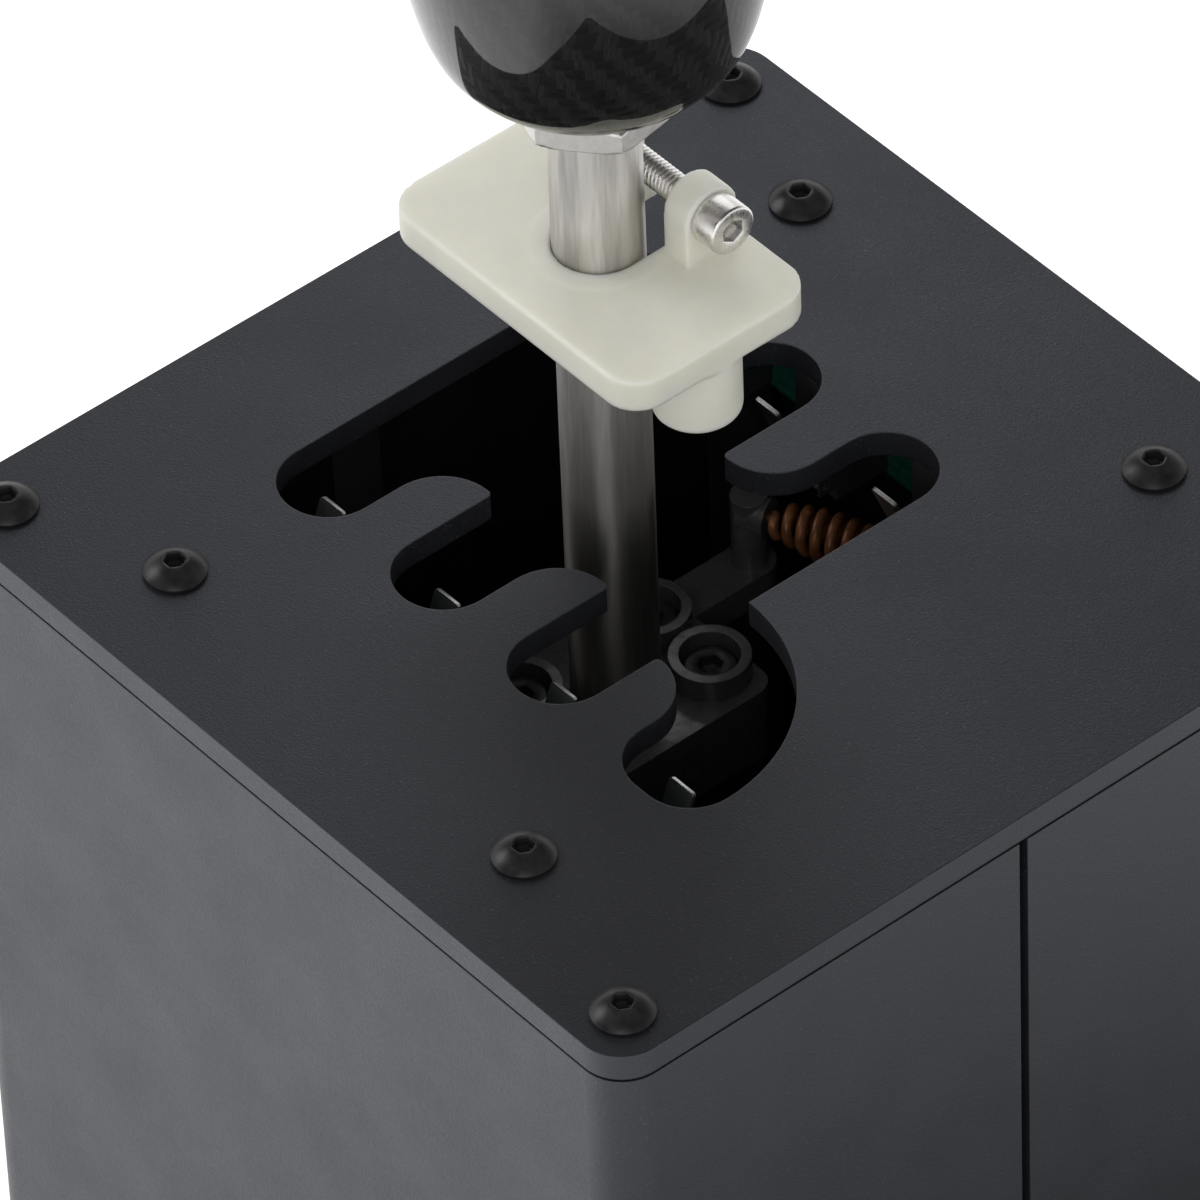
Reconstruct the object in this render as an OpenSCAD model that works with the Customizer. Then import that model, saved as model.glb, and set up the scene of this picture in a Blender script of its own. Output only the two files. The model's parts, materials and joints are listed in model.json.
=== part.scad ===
// Gear shifter for a racing simulator: a boxed H-gate lever with six forward gears
// and reverse, spring centred on the third and fourth gear column.
// Millimetres. +Z up, +Y away from the driver, +X to the driver's right.
// The origin is the centre of the underside of the base plate.

/* [Housing] */
// Width of the box across X
body_w = 136; // [124:1:160]
// Depth of the box along Y
body_d = 136; // [132:1:160]
// Height from the underside to the top of the gate plate
body_h = 140; // [134:1:170]
// Thickness of the folded side sheets
sheet_t = 2.5; // [1.5:0.1:3]
// Outside radius of the upright bends and of the plate corners
corner_r = 6; // [5:0.5:9]
// Width of the joint between the two side sheets
seam_w = 1.4; // [0.6:0.1:3]
// Place of that joint along Y
seam_y = -1.8; // [-4:0.1:4]
// Thickness of the base plate
base_t = 5; // [4:0.5:8]
// Shadow gap between the side sheets and the gate plate
lid_gap = 0.4; // [0.2:0.1:1]
// Length of the feet folded inward at the bottom of the side sheets
foot_l = 14; // [12:0.5:15]
// Spacing of the four mounting holes in the base
mount_pitch = 96; // [84:1:98]
// Core diameter of the tapped mounting holes
mount_d = 5; // [4.2:0.1:6.8]

/* [Gate] */
// Thickness of the gate plate
plate_t = 4; // [3:0.5:5]
// Distance from one gear column to the next
col_pitch = 23; // [22:0.5:25]
// Width of the gear slots
slot_w = 14; // [13.6:0.1:15]
// Distance from the neutral line to the centre of a slot's round end
slot_reach = 27; // [26.6:0.1:29]
// Width of the neutral channel
channel_w = 26.6; // [22:0.2:28]
// Sideways place of the middle of the gate on the plate
gate_x = -2.5; // [-4:0.5:0]
// Radius of the swept corner on each gate finger
relief_r = 7.9; // [5:0.1:8.2]
// Radius of the tight corner on each gate finger
finger_r = 0.8; // [0.4:0.1:1]
// Extra room in the reverse slot away from the other gears
reverse_room = 2; // [1:0.1:3]

/* [Plate screws] */
// Distance of the corner screws from the plate edges
screw_inset = 7.1; // [7:0.1:8.5]
// Distance of the board screws from the neutral line
board_screw_y = 52.5; // [52:0.5:54]
// Diameter of the button heads
head_d = 8.4; // [7:0.1:9]
// Height of the button heads
head_h = 2.4; // [2:0.1:3]
// Thread diameter of the plate screws
screw_d = 4; // [3:0.5:4]

/* [Lever] */
// Diameter of the lever shaft
shaft_d = 12; // [10:0.5:12]
// Height of the pivot above the underside
pivot_h = 28; // [26:0.5:32]
// Height of the shaft's shoulder above the gate plate
shaft_rise = 61.8; // [58:0.5:90]
// Diameter of the knob thread
stud_d = 8; // [6:0.5:10]
// Width across flats of the lock nut under the knob
nut_af = 13; // [13:0.5:17]
// Height of the lock nut
nut_h = 4.6; // [4:0.1:6]
// Greatest radius of the knob
knob_r = 24; // [20:0.5:28]
// Height of the knob
knob_h = 57; // [50:1:80]

/* [Limiter] */
// Length of the limiter plate across X
lim_l = 48.8; // [46:0.2:52]
// Depth of the limiter plate along Y
lim_d = 30.4; // [29:0.2:36]
// Thickness of the limiter plate
lim_t = 5; // [4:0.5:7]
// Height of the limiter's top face above the gate plate
lim_rise = 40; // [37:0.5:46]
// Diameter of the peg
peg_d = 11.7; // [8:0.1:12]
// Length of the peg below the limiter plate
peg_l = 10.6; // [6:0.2:11]
// Height of the clamp ears above the limiter plate
ear_h = 10.6; // [10:0.2:13]

/* [Spring carrier] */
// Height of the top of the carrier's screw cups below the gate plate
hub_drop = 34.5; // [33:0.5:40]
// Length of the carrier across X
hub_l = 26; // [24:0.5:30]
// Depth of the carrier along Y
hub_w = 33; // [32:0.5:36]
// Thickness of the carrier
hub_t = 12; // [9:0.5:14]
// Outside diameter of the screw cups
cup_d = 11; // [10:0.2:11.4]
// Outside diameter of the centring springs
spring_d = 6.6; // [5.6:0.1:7]
// Wire diameter of the centring springs
wire_d = 1.4; // [1:0.1:1.5]
// Distance from one curl to the next
spring_pitch = 1.95; // [1.95:0.05:2.4]

/* [Switches] */
// Length of a switch body along Z
switch_l = 19.8; // [18:0.2:20.4]
// Depth of a switch body along Y
switch_h = 10; // [9:0.2:10.6]
// Width of a switch body along X
switch_w = 6.4; // [5.8:0.2:7]
// Width of a switch lever
blade_w = 4.4; // [3.6:0.2:5]
// Thickness of a switch lever
blade_t = 0.5; // [0.3:0.1:0.6]
// Thickness of the circuit boards
board_t = 1.6; // [1:0.2:2]

/* [Hidden] */
$fn = 64;

fit = 0.02;        // close fit of pins and screws, on the radius
run = 0.05;        // running fit of the pivots, on the radius
gap = 0.3;         // clearance between pieces that pass each other
seat = 0.05;       // parting between faces that are bolted together
plate_z = body_h - plate_t;
wall_y = body_d / 2 - sheet_t;
post_d = 9;
post_x = body_w / 2 - screw_inset;
post_y = body_d / 2 - screw_inset;
col_a = gate_x - 1.5 * col_pitch;
col_b = col_a + col_pitch;
col_c = col_b + col_pitch;
col_d = col_c + col_pitch;
slot_r = slot_w / 2;
inner_x = [col_a, col_d];
key_d = 2.5;
thread_l = 10;      // length of a plate screw in the piece below the plate
tap_l = 12;         // depth of a tapped hole
hole_d = screw_d + 0.3;
tap_d = screw_d + 2 * fit;

// Board and switch stations
bracket_w = 10;
bracket_d = 13;
bracket_h = 20;
spring_bracket_h = 46;
bracket_screw_x = 7;
bracket_flange_w = 2 * bracket_screw_x + 6;
bracket_screw_z = plate_z - 12;
bracket_screw_d = 2.5;
tail_l = 1.6;
tail_step = 6.2;
board_y = board_screw_y - bracket_d / 2;
board_top = plate_z - 0.4;
board_h = 21;
body_face_y = board_y - board_t - 2 * seat - switch_h;
switch_mid = plate_z - 0.7 - switch_l / 2;
cols_near = [col_a, col_b, col_c, col_d];
cols_far = [col_a, col_b, col_c];
blade_l = 17;
blade_lean = 22.5;
hinge_y = body_face_y - 0.7;
hinge_z = plate_z - 0.5 - blade_l;

// Pivot
tilt_pin_d = 8;
yoke_pin_d = 6;
cradle_wall = 7;
cradle_h = 14;
yoke_x = 14.6;
yoke_y = 9;
yoke_low = 9;
yoke_top = 18;
cradle_in_x = yoke_x + 0.4;
cradle_in_y = 15;
cradle_x = cradle_in_x + cradle_wall;
cradle_y = cradle_in_y + cradle_wall;
stand_t = 8;
stand_y = cradle_y + 0.4;
stand_half = 9.5;
stand_foot = 4;
stand_foot_h = 6;
tilt_head_d = 13;
tilt_head_h = 4;
yoke_pin_in = 8;
yoke_pin_head_d = 10;
yoke_pin_head_h = 3;
yoke_screw_d = 5;
yoke_screw_head_d = 8.5;
yoke_screw_head_h = 3.6;
yoke_recess = 4;

// Spring carrier, its arms and the two diagonal springs
hub_top = body_h - hub_drop;
cup_h = 3.6;
hub_z = hub_top - cup_h - hub_t;
cup_x = 6;
cup_y = 11;
arm_w = 7;
arm_t = 5;
cup_wall = 1.4;
cup_floor = hub_t - 1.4;
hub_key = 3;
hub_head_d = 7;
hub_head_h = 3.2;
hook = [-7, 29];
far_hook_z = hub_top + 5;
near_hook_z = hub_z + hub_t / 2;
far_from = [col_b + hook[0], hook[1]];
far_to = [col_d - bracket_w / 2, board_screw_y - 2.2];
near_from = [col_b - hook[0], -hook[1]];
near_to = [col_a + bracket_w / 2, -board_screw_y + 2.2];
boss_d = 5.4;
boss_l = 3;
hook_post_d = boss_d - 0.4;

// Shaft and knob
shaft_bottom = pivot_h + 6;
stud_l = 25;
ring_t = 1.1;
ring_share = 0.45;
shoulder_z = body_h + shaft_rise;
knob_z = shoulder_z + nut_h + ring_t + 3 * seat;

// Limiter
lim_top = body_h + lim_rise;
lim_z = lim_top - lim_t;
peg_x = (lim_l - peg_d) / 2;
ear_y = shaft_d / 2 + 3.3;
ear_x0 = shaft_d / 2 + 0.7;
ear_t = 4.6;
ear_z = lim_top + 6.4;
ear_r = lim_top + ear_h - ear_z;
collar_t = 3;
collar_h = 2.6;
cap_d = 7;
cap_h = 4;
lim_nut_h = 3.2;

// Shared shapes

// Rectangle with exact round corners
module round_rect(l, w, r) {
    square([l - 2 * r, w], center = true);
    square([l, w - 2 * r], center = true);
    for (x = [-1, 1], y = [-1, 1])
        translate([x * (l / 2 - r), y * (w / 2 - r)]) circle(r);
}

module round_plate(l, w, t, r) {
    linear_extrude(t) round_rect(l, w, r);
}

// Hexagonal prism, af across the flats
module hex(af, h) {
    cylinder(d = af / cos(30), h = h, $fn = 6);
}

// Button-head socket screw standing on z = 0, thread downward
module button_screw(d, l, hd, hh) {
    difference() {
        union() {
            rotate_extrude()
                intersection() {
                    translate([0, hh - button_r(hd, hh)]) circle(button_r(hd, hh), $fn = 96);
                    square([hd / 2, hh]);
                }
            translate([0, 0, -l]) cylinder(d = d, h = l + 0.5);
        }
        translate([0, 0, hh * 0.38]) hex(key_d, hh);
    }
}

// Radius of the dome whose rim is hd wide and hh tall, with a low edge left standing
function button_r(hd, hh) = (hd * hd / 4 + (hh - 0.5) * (hh - 0.5)) / (2 * (hh - 0.5));

// Cap-head socket screw standing on z = 0, thread downward
module cap_screw(d, l, hd, hh, key) {
    difference() {
        union() {
            cylinder(d = hd, h = hh - 0.3);
            translate([0, 0, hh - 0.3]) cylinder(d1 = hd, d2 = hd - 0.6, h = 0.3);
            translate([0, 0, -l]) cylinder(d = d, h = l + 0.5);
        }
        translate([0, 0, hh * 0.45]) hex(key, hh);
    }
}

// Springs

// Direction, length and turn of a spring between two points of one level
function span(a, b) = norm(b - a);
function heading(a, b) = atan2(b[1] - a[1], b[0] - a[0]);

coil_r = (spring_d - wire_d) / 2;
ring_n = 8;
side_n = 6;
lead = wire_d;
ease = 2.4;

function ease01(t) = t <= 0 ? 0 : t >= 1 ? 1 : t * t * (3 - 2 * t);
// Radius of the wire's path about the spring's axis, at s along the axis
function path_r(s, len) = coil_r * min(ease01((s - lead) / ease), ease01((len - lead - s) / ease));
function curls(len) = floor((len - 2 * lead) / spring_pitch);
function path_s(i, n, len) = lead + (len - 2 * lead) * i / n;
function path_a(i) = 360 * i / ring_n;
function path_p(i, n, len) =
    let (s = path_s(i, n, len), r = path_r(s, len), a = path_a(i))
    [s, r * cos(a), r * sin(a)];
// Every ring centre: a straight end, the curls, a straight end
function spring_path(len) =
    let (n = curls(len) * ring_n)
    concat([[0, 0, 0], [lead * 0.8, 0, 0]],
        [for (i = [1:n - 1]) path_p(i, n, len)],
        [[len - lead * 0.8, 0, 0], [len, 0, 0]]);

function unit(v) = v / norm(v);
function tangent(p, i) =
    i <= 1 || i >= len(p) - 2 ? [1, 0, 0] : unit(p[i + 1] - p[i - 1]);
// One ring of the tube, turned with the coil so that its seam never twists
function tube_ring(p, i, d) =
    let (t = tangent(p, i), a = path_a(i - 1),
        q = [0, cos(a), sin(a)], n = unit(q - (q * t) * t), b = cross(t, n))
    [for (k = [0:side_n - 1]) p[i] + d / 2 * (cos(360 * k / side_n) * n + sin(360 * k / side_n) * b)];

module tube(p, d) {
    m = len(p);
    pts = [for (i = [0:m - 1]) each tube_ring(p, i, d)];
    sides = [for (i = [0:m - 2], k = [0:side_n - 1]) each
        [[i * side_n + k, (i + 1) * side_n + k, i * side_n + (k + 1) % side_n],
         [i * side_n + (k + 1) % side_n, (i + 1) * side_n + k, (i + 1) * side_n + (k + 1) % side_n]]];
    cap_a = [for (k = [1:side_n - 2]) [0, k, k + 1]];
    cap_b = [for (k = [1:side_n - 2]) [(m - 1) * side_n, (m - 1) * side_n + k + 1, (m - 1) * side_n + k]];
    polyhedron(points = pts, faces = concat(sides, cap_a, cap_b), convexity = 10);
}

// Least distance between wire surfaces a whole curl apart
function self_gap(p, d) =
    min([for (i = [0:len(p) - 1], j = [i + 5:1:min(i + 2 * ring_n, len(p) - 1)])
        norm(p[i] - p[j])]) - d;

module coil_spring(a, b, z) {
    p = spring_path(span(a, b) - 2 * boss_l);
    echo(spring_gap = self_gap(p, wire_d));
    translate([a[0], a[1], z]) rotate([0, 0, heading(a, b)]) translate([boss_l, 0, 0]) tube(p, wire_d);
}

// Round boss that a spring's end seats on, lying along the spring's axis
module spring_boss(a, b, z, back) {
    translate([a[0], a[1], z]) rotate([0, 0, heading(a, b)]) rotate([0, 90, 0])
        translate([0, 0, -back]) cylinder(d = boss_d, h = boss_l + back);
}

// Gate outline

// Piece left standing beside a swept finger corner, to be cut away. side: -1 for a
// finger whose swept corner faces -X, 1 for +X. Drawn for fingers that point to +Y.
module swept_corner(x, tip, side, r) {
    difference() {
        translate([side < 0 ? x - 0.01 : x - r, tip - r]) square([r + 0.01, r + 0.01]);
        translate([x - side * r, tip - r]) circle(r);
    }
}

// One finger of the gate, pointing to +Y from the slot ends up to its tip
module finger(x0, x1, tip, side) {
    difference() {
        translate([x0, -slot_reach - slot_w]) square([x1 - x0, tip + slot_reach + slot_w]);
        swept_corner(side < 0 ? x0 : x1, tip, side, relief_r);
        swept_corner(side < 0 ? x1 : x0, tip, -side, finger_r);
    }
}

module slot_2d(x, dir) {
    translate([x - slot_r, min(0, dir * slot_reach)]) square([slot_w, slot_reach]);
    translate([x, dir * slot_reach]) circle(slot_r);
}

rev_left = col_d - slot_r - 0.5;
rev_right = col_d + slot_r + reverse_room;
sweep_r = rev_right - (col_c + slot_r);

module gate_2d() {
    difference() {
        union() {
            translate([col_a - slot_r, -slot_reach]) square([col_c - col_a + slot_w, 2 * slot_reach]);
            for (x = [col_a, col_b, col_c], dir = [-1, 1]) slot_2d(x, dir);
            intersection() {
                translate([col_c + slot_r, -slot_reach]) circle(sweep_r, $fn = 128);
                translate([col_c + slot_r - 0.01, -slot_reach]) square([sweep_r + 1, sweep_r + 1]);
            }
            translate([rev_left, -slot_reach - slot_r + 0.001])
                translate([slot_r, 0]) square([rev_right - rev_left - slot_w, slot_r + 0.01]);
            translate([rev_left + slot_r, -slot_reach]) circle(slot_r);
            translate([rev_right - slot_r, -slot_reach]) circle(slot_r);
        }
        finger(col_a + slot_r, col_b - slot_r, -channel_w / 2, -1);
        finger(col_b + slot_r, col_c - slot_r, -channel_w / 2, -1);
        finger(col_c + slot_r, rev_left, -channel_w / 2 - 3.8, 1);
        mirror([0, 1]) finger(col_a + slot_r, col_b - slot_r, -channel_w / 2, 1);
        mirror([0, 1]) finger(col_b + slot_r, col_c - slot_r, -channel_w / 2, 1);
    }
}

// Housing

module at_posts() {
    for (x = [-1, 1], y = [-1, 1]) translate([x * post_x, y * post_y]) children();
}

module at_brackets() {
    for (x = inner_x, y = [-1, 1]) translate([x, y * board_screw_y]) children();
}

foot_x = body_w / 4;
foot_hole_y = wall_y - foot_l / 2;
module at_feet() {
    for (x = [-1, 1], y = [-1, 1]) translate([x * foot_x, y * foot_hole_y]) children();
}

stand_hole_x = 6;
module at_stand_holes() {
    for (x = [-1, 1], y = [-1, 1])
        translate([col_b + x * stand_hole_x, y * (stand_y + stand_t / 2)]) children();
}

pillar_x = [-13, 13];
board_rim = 4;
pillar_y = [stand_y + stand_t + board_rim + 1.6, wall_y - board_rim - 3.5];
pillar_af = 6.5;
pillar_h = 8;
pillar_screw_d = 2.5;
small_head_d = 4.5;
small_head_h = 1.8;
inlet_w = 9;
inlet_h = 3.2;
inlet_l = 9.3;
inlet_wall = 0.3;
inlet_x = (pillar_x[0] + pillar_x[1]) / 2;
inlet_z = base_t + pillar_h + board_t + 2 * seat + inlet_h / 2;
module at_pillars() {
    for (x = pillar_x, y = pillar_y) translate([x, y]) children();
}

base_head_d = 7;
base_head_h = 2.6;
module base_plate() {
    color("#1d1e21")
    difference() {
        round_plate(body_w - 2 * sheet_t - 2 * gap, body_d - 2 * sheet_t - 2 * gap, base_t,
            corner_r - sheet_t - gap);
        for (x = [-1, 1], y = [-1, 1])
            translate([x * mount_pitch / 2, y * mount_pitch / 2, -1]) cylinder(d = mount_d, h = base_t + 2);
        at_posts() base_screw_hole();
        at_feet() base_screw_hole();
        at_stand_holes() base_screw_hole();
        at_pillars() base_screw_hole();
    }
}

module base_screw_hole() {
    translate([0, 0, -1]) cylinder(d = hole_d, h = base_t + 2);
    translate([0, 0, -1]) cylinder(d = base_head_d + 0.4, h = base_head_h + 1);
}

// One folded side sheet: a wall with two returns and two feet, closed to +Y, whose
// returns end at y = edge
module side_sheet(edge) {
    linear_extrude(plate_z - lid_gap)
        difference() {
            round_rect(body_w, body_d, corner_r);
            round_rect(body_w - 2 * sheet_t, body_d - 2 * sheet_t, corner_r - sheet_t);
            translate([-body_w, edge - 2 * body_d]) square([2 * body_w, 2 * body_d]);
        }
    for (x = [-foot_x, foot_x]) translate([x, wall_y - foot_l, base_t + seat]) foot();
}

foot_w = 24;
module foot() {
    difference() {
        translate([-foot_w / 2, 0, 0]) cube([foot_w, foot_l + sheet_t / 2, sheet_t]);
        translate([0, foot_l / 2, -1]) cylinder(d = screw_d, h = sheet_t + 2);
    }
}

module shell_near() {
    color("#3c3c46") mirror([0, 1, 0]) side_sheet(seam_w / 2 - seam_y);
}

module shell_far() {
    color("#3c3c46")
    difference() {
        side_sheet(seam_w / 2 + seam_y);
        translate([inlet_x, body_d / 2 + 1, inlet_z]) rotate([90, 0, 0])
            linear_extrude(sheet_t + 2) round_rect(inlet_w + 3.4, inlet_h + 3.2, 3);
    }
}

module gate_plate() {
    color("#323236")
    translate([0, 0, plate_z])
    difference() {
        round_plate(body_w, body_d, plate_t, corner_r);
        translate([0, 0, -1]) linear_extrude(plate_t + 2) gate_2d();
        at_posts() translate([0, 0, -1]) cylinder(d = hole_d, h = plate_t + 2);
        at_brackets() translate([0, 0, -1]) cylinder(d = hole_d, h = plate_t + 2);
    }
}

module corner_posts() {
    color("#8d9094")
    at_posts() difference() {
        translate([0, 0, base_t + seat]) cylinder(d = post_d, h = plate_z - base_t - 2 * seat);
        translate([0, 0, base_t - 1]) cylinder(d = tap_d, h = tap_l + 1);
        translate([0, 0, plate_z - tap_l]) cylinder(d = tap_d, h = tap_l + 1);
    }
}

module corner_screws() {
    color("#26262a")
    at_posts() translate([0, 0, body_h + seat]) button_screw(screw_d, plate_t + thread_l, head_d, head_h);
}

module board_screws_top() {
    color("#26262a")
    at_brackets() translate([0, 0, body_h + seat]) button_screw(screw_d, plate_t + thread_l, head_d, head_h);
}

// Screw from below, sunk in the base plate, that reaches l above the plate
module base_screw(l) {
    mirror([0, 0, 1]) translate([0, 0, seat - base_head_h])
        cap_screw(screw_d, l + base_t - base_head_h, base_head_d, base_head_h - 0.3, 3);
}

module base_screws() {
    color("#2b2b2e") {
        at_posts() base_screw(thread_l - 1);
        at_feet() base_screw(sheet_t + 0.6);
    }
}

// Switch boards

module board_brackets() {
    color("#2a2b2e")
    for (x = inner_x, s = [-1, 1]) union() {
        translate([x, s * board_screw_y, plate_z - seat]) rotate([0, 0, s > 0 ? 0 : 180])
            bracket(carries_spring(x, s) ? spring_bracket_h : bracket_h);
        if (carries_spring(x, s)) spring_boss(s > 0 ? far_to : near_to, s > 0 ? far_from : near_from,
            s > 0 ? far_hook_z : near_hook_z, 3.5);
    }
}

// The brackets at the far right and the near left carry the fixed ends of the springs
function carries_spring(x, s) = (x == col_d) == (s > 0);

// Block under the gate plate with a flange across it for the board, facing -Y
module bracket(h) {
    difference() {
        union() {
            translate([-bracket_flange_w / 2, -bracket_d / 2, -bracket_h])
                cube([bracket_flange_w, bracket_d / 2, bracket_h]);
            translate([-bracket_w / 2, -bracket_d / 2, -h]) cube([bracket_w, bracket_d, h]);
        }
        translate([0, 0, -tap_l]) cylinder(d = tap_d, h = tap_l + 2);
        for (k = [-1, 1]) translate([k * bracket_screw_x, -bracket_d / 2, bracket_screw_z - plate_z + seat])
            rotate([90, 0, 0]) cylinder(d = bracket_screw_d + 2 * fit, h = 12, center = true);
        translate([-1, -bracket_d / 2 - 1, -bracket_h - 3]) cube([2, tail_l + 1.5, bracket_h + 5]);
    }
}

module board(s, cols) {
    difference() {
        translate([col_a - bracket_flange_w / 2, s > 0 ? board_y - board_t - seat : -board_y + seat,
            board_top - board_h])
            cube([col_d - col_a + bracket_flange_w, board_t, board_h]);
        for (x = inner_x, k = [-1, 1])
            translate([x + k * bracket_screw_x, s * board_y, bracket_screw_z]) rotate([90, 0, 0])
                cylinder(d = bracket_screw_d + 0.4, h = 3 * board_t, center = true);
        for (x = cols, k = [-1, 0, 1])
            translate([x, s * board_y, switch_mid + k * tail_step]) rotate([90, 0, 0])
                cylinder(d = 1.5, h = 3 * board_t, center = true);
    }
}

module board_near() {
    color("#1f6b45") board(-1, cols_near);
}

module board_far() {
    color("#1f6b45") board(1, cols_far);
}

module board_screws() {
    color("#c8c9cb")
    for (x = inner_x, k = [-1, 1], s = [-1, 1])
        translate([x + k * bracket_screw_x, s * (board_y - board_t - 2 * seat), bracket_screw_z])
            rotate([90 * s, 0, 0]) cap_screw(bracket_screw_d, board_t + 3.6, small_head_d, small_head_h, 1.5);
}

// Snap switch with its plunger side at y = 0 and its three tails through the board
module snap_switch() {
    difference() {
        translate([-switch_w / 2, 0, -switch_l / 2]) cube([switch_w, switch_h, switch_l]);
        for (z = [-4.75, 4.75]) translate([0, switch_h * 0.7, z]) rotate([0, 90, 0])
            cylinder(d = 2.2, h = switch_w + 2, center = true);
        translate([-switch_w, -1, -switch_l / 2 - 1]) cube([2 * switch_w, 2.2, 3.4]);
    }
    for (x = [-1, 1]) translate([x * (blade_w / 2 + 0.55), 0, 0]) hinge_ear();
    translate([0, 0.5, -switch_l / 2 + 9.5]) rotate([90, 0, 0]) cylinder(d = 1.8, h = 0.8);
    for (k = [-1, 0, 1]) translate([-0.25, switch_h - 0.5, k * tail_step - 0.5])
        cube([0.5, 0.5 + board_t + tail_l, 1]);
}

// Small ear that holds one end of the blade's hinge pin
module hinge_ear() {
    translate([-0.25, 0, 0]) translate([0, -1.5, hinge_z - switch_mid - 1]) difference() {
        cube([0.5, 3.4, 3.4]);
        translate([-1, 1.5 - 0.7, 1]) rotate([0, 90, 0]) cylinder(d = 0.8, h = 3);
    }
}

module switches(s, cols) {
    for (x = cols) translate([x, s * body_face_y, switch_mid]) rotate([0, 0, s > 0 ? 0 : 180])
        snap_switch();
}

module switches_near() {
    color("#17181a") switches(-1, cols_near);
}

module switches_far() {
    color("#17181a") switches(1, cols_far);
}

// Sprung steel blade on a hinge pin. Drawn for the far side, leaning toward -Y.
module blade(x, s) {
    translate([x, s * hinge_y, hinge_z]) rotate([0, 0, s > 0 ? 0 : 180]) {
        rotate([0, 90, 0]) cylinder(d = 0.7, h = blade_w + 1.5, center = true, $fn = 24);
        rotate([blade_lean, 0, 0]) translate([-blade_w / 2, -blade_t / 2, 0])
            cube([blade_w, blade_t, blade_l]);
    }
}

module blade_gear1() {
    color("#b9bbbe") blade(col_a, 1);
}

module blade_gear2() {
    color("#b9bbbe") blade(col_a, -1);
}

module blade_gear3() {
    color("#b9bbbe") blade(col_b, 1);
}

module blade_gear4() {
    color("#b9bbbe") blade(col_b, -1);
}

module blade_gear5() {
    color("#b9bbbe") blade(col_c, 1);
}

module blade_gear6() {
    color("#b9bbbe") blade(col_c, -1);
}

module blade_reverse() {
    color("#b9bbbe") blade(col_d, -1);
}

// Pivot

module at_pivot() {
    translate([col_b, 0, pivot_h]) children();
}

module pivot_stands() {
    color("#6d7074")
    for (s = [-1, 1]) translate([col_b, s * (stand_y + stand_t / 2), 0]) difference() {
        union() {
            translate([0, 0, pivot_h]) rotate([90, 0, 0])
                cylinder(r = stand_half, h = stand_t, center = true);
            translate([-stand_half, -stand_t / 2, base_t + seat])
                cube([2 * stand_half, stand_t, pivot_h - base_t - seat]);
            translate([-stand_half - stand_foot, -stand_t / 2, base_t + seat])
                cube([2 * (stand_half + stand_foot), stand_t, stand_foot_h]);
        }
        translate([0, 0, pivot_h]) rotate([90, 0, 0])
            cylinder(d = tilt_pin_d + 2 * fit, h = 2 * stand_t, center = true);
        for (x = [-1, 1]) translate([x * stand_hole_x, 0, base_t - 1])
            cylinder(d = tap_d, h = tap_l - 1);
    }
}

module stand_screws() {
    color("#2b2b2e") {
        at_stand_holes() base_screw(thread_l - 2);
        at_pillars() base_screw(4);
    }
}

tilt_pin_in = cradle_in_y + 0.8;
tilt_pin_out = stand_y + stand_t + seat;
// Shouldered pins with their heads outside the stands
module tilt_pins() {
    color("#a4a7ab")
    at_pivot() for (s = [-1, 1]) rotate([-90 * s, 0, 0]) {
        translate([0, 0, tilt_pin_in]) cylinder(d = tilt_pin_d, h = tilt_pin_out - tilt_pin_in + 0.5);
        translate([0, 0, tilt_pin_out]) difference() {
            cylinder(d = tilt_head_d, h = tilt_head_h);
            translate([0, 0, tilt_head_h / 2]) hex(5, tilt_head_h);
        }
    }
}

bush_t = 1.5;
module cradle() {
    color("#26272b")
    at_pivot() difference() {
        translate([0, 0, -cradle_h / 2]) round_plate(2 * cradle_x, 2 * cradle_y, cradle_h, 5);
        translate([0, 0, -cradle_h]) round_plate(2 * cradle_in_x, 2 * cradle_in_y, 2 * cradle_h, 3);
        rotate([90, 0, 0]) cylinder(d = tilt_pin_d + 2 * bush_t + 2 * fit, h = 4 * cradle_y, center = true);
        rotate([0, 90, 0]) cylinder(d = yoke_pin_d + 2 * run, h = 4 * cradle_x, center = true);
    }
}

// Plain bearings pressed into the cradle, running on the tilt pins
module cradle_bushes() {
    color("#b8863b")
    at_pivot() for (s = [-1, 1]) rotate([-90 * s, 0, 0])
        translate([0, 0, cradle_in_y]) difference() {
            cylinder(d = tilt_pin_d + 2 * bush_t, h = cradle_wall);
            translate([0, 0, -1]) cylinder(d = tilt_pin_d + 2 * run, h = cradle_wall + 2);
        }
}

module yoke() {
    color("#6d7074")
    at_pivot() difference() {
        union() {
            translate([-yoke_x, -yoke_y, -yoke_low]) cube([2 * yoke_x, 2 * yoke_y, 2 * yoke_low]);
            translate([0, 0, yoke_low - 0.1])
                cylinder(r1 = yoke_y, r2 = shaft_d / 2 + 2, h = yoke_top - yoke_low + 0.1);
        }
        translate([0, 0, shaft_bottom - pivot_h]) cylinder(d = shaft_d + 2 * fit, h = yoke_top);
        translate([0, 0, -yoke_low - 1]) cylinder(d = yoke_screw_d + 2 * fit, h = yoke_top);
        translate([0, 0, -yoke_low - 1]) cylinder(d = yoke_screw_head_d + 0.5, h = yoke_recess + 1);
        for (s = [-1, 1]) rotate([0, 90 * s, 0]) translate([0, 0, yoke_pin_in - 0.5])
            cylinder(d = yoke_pin_d + 2 * fit, h = yoke_x);
    }
}

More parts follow.
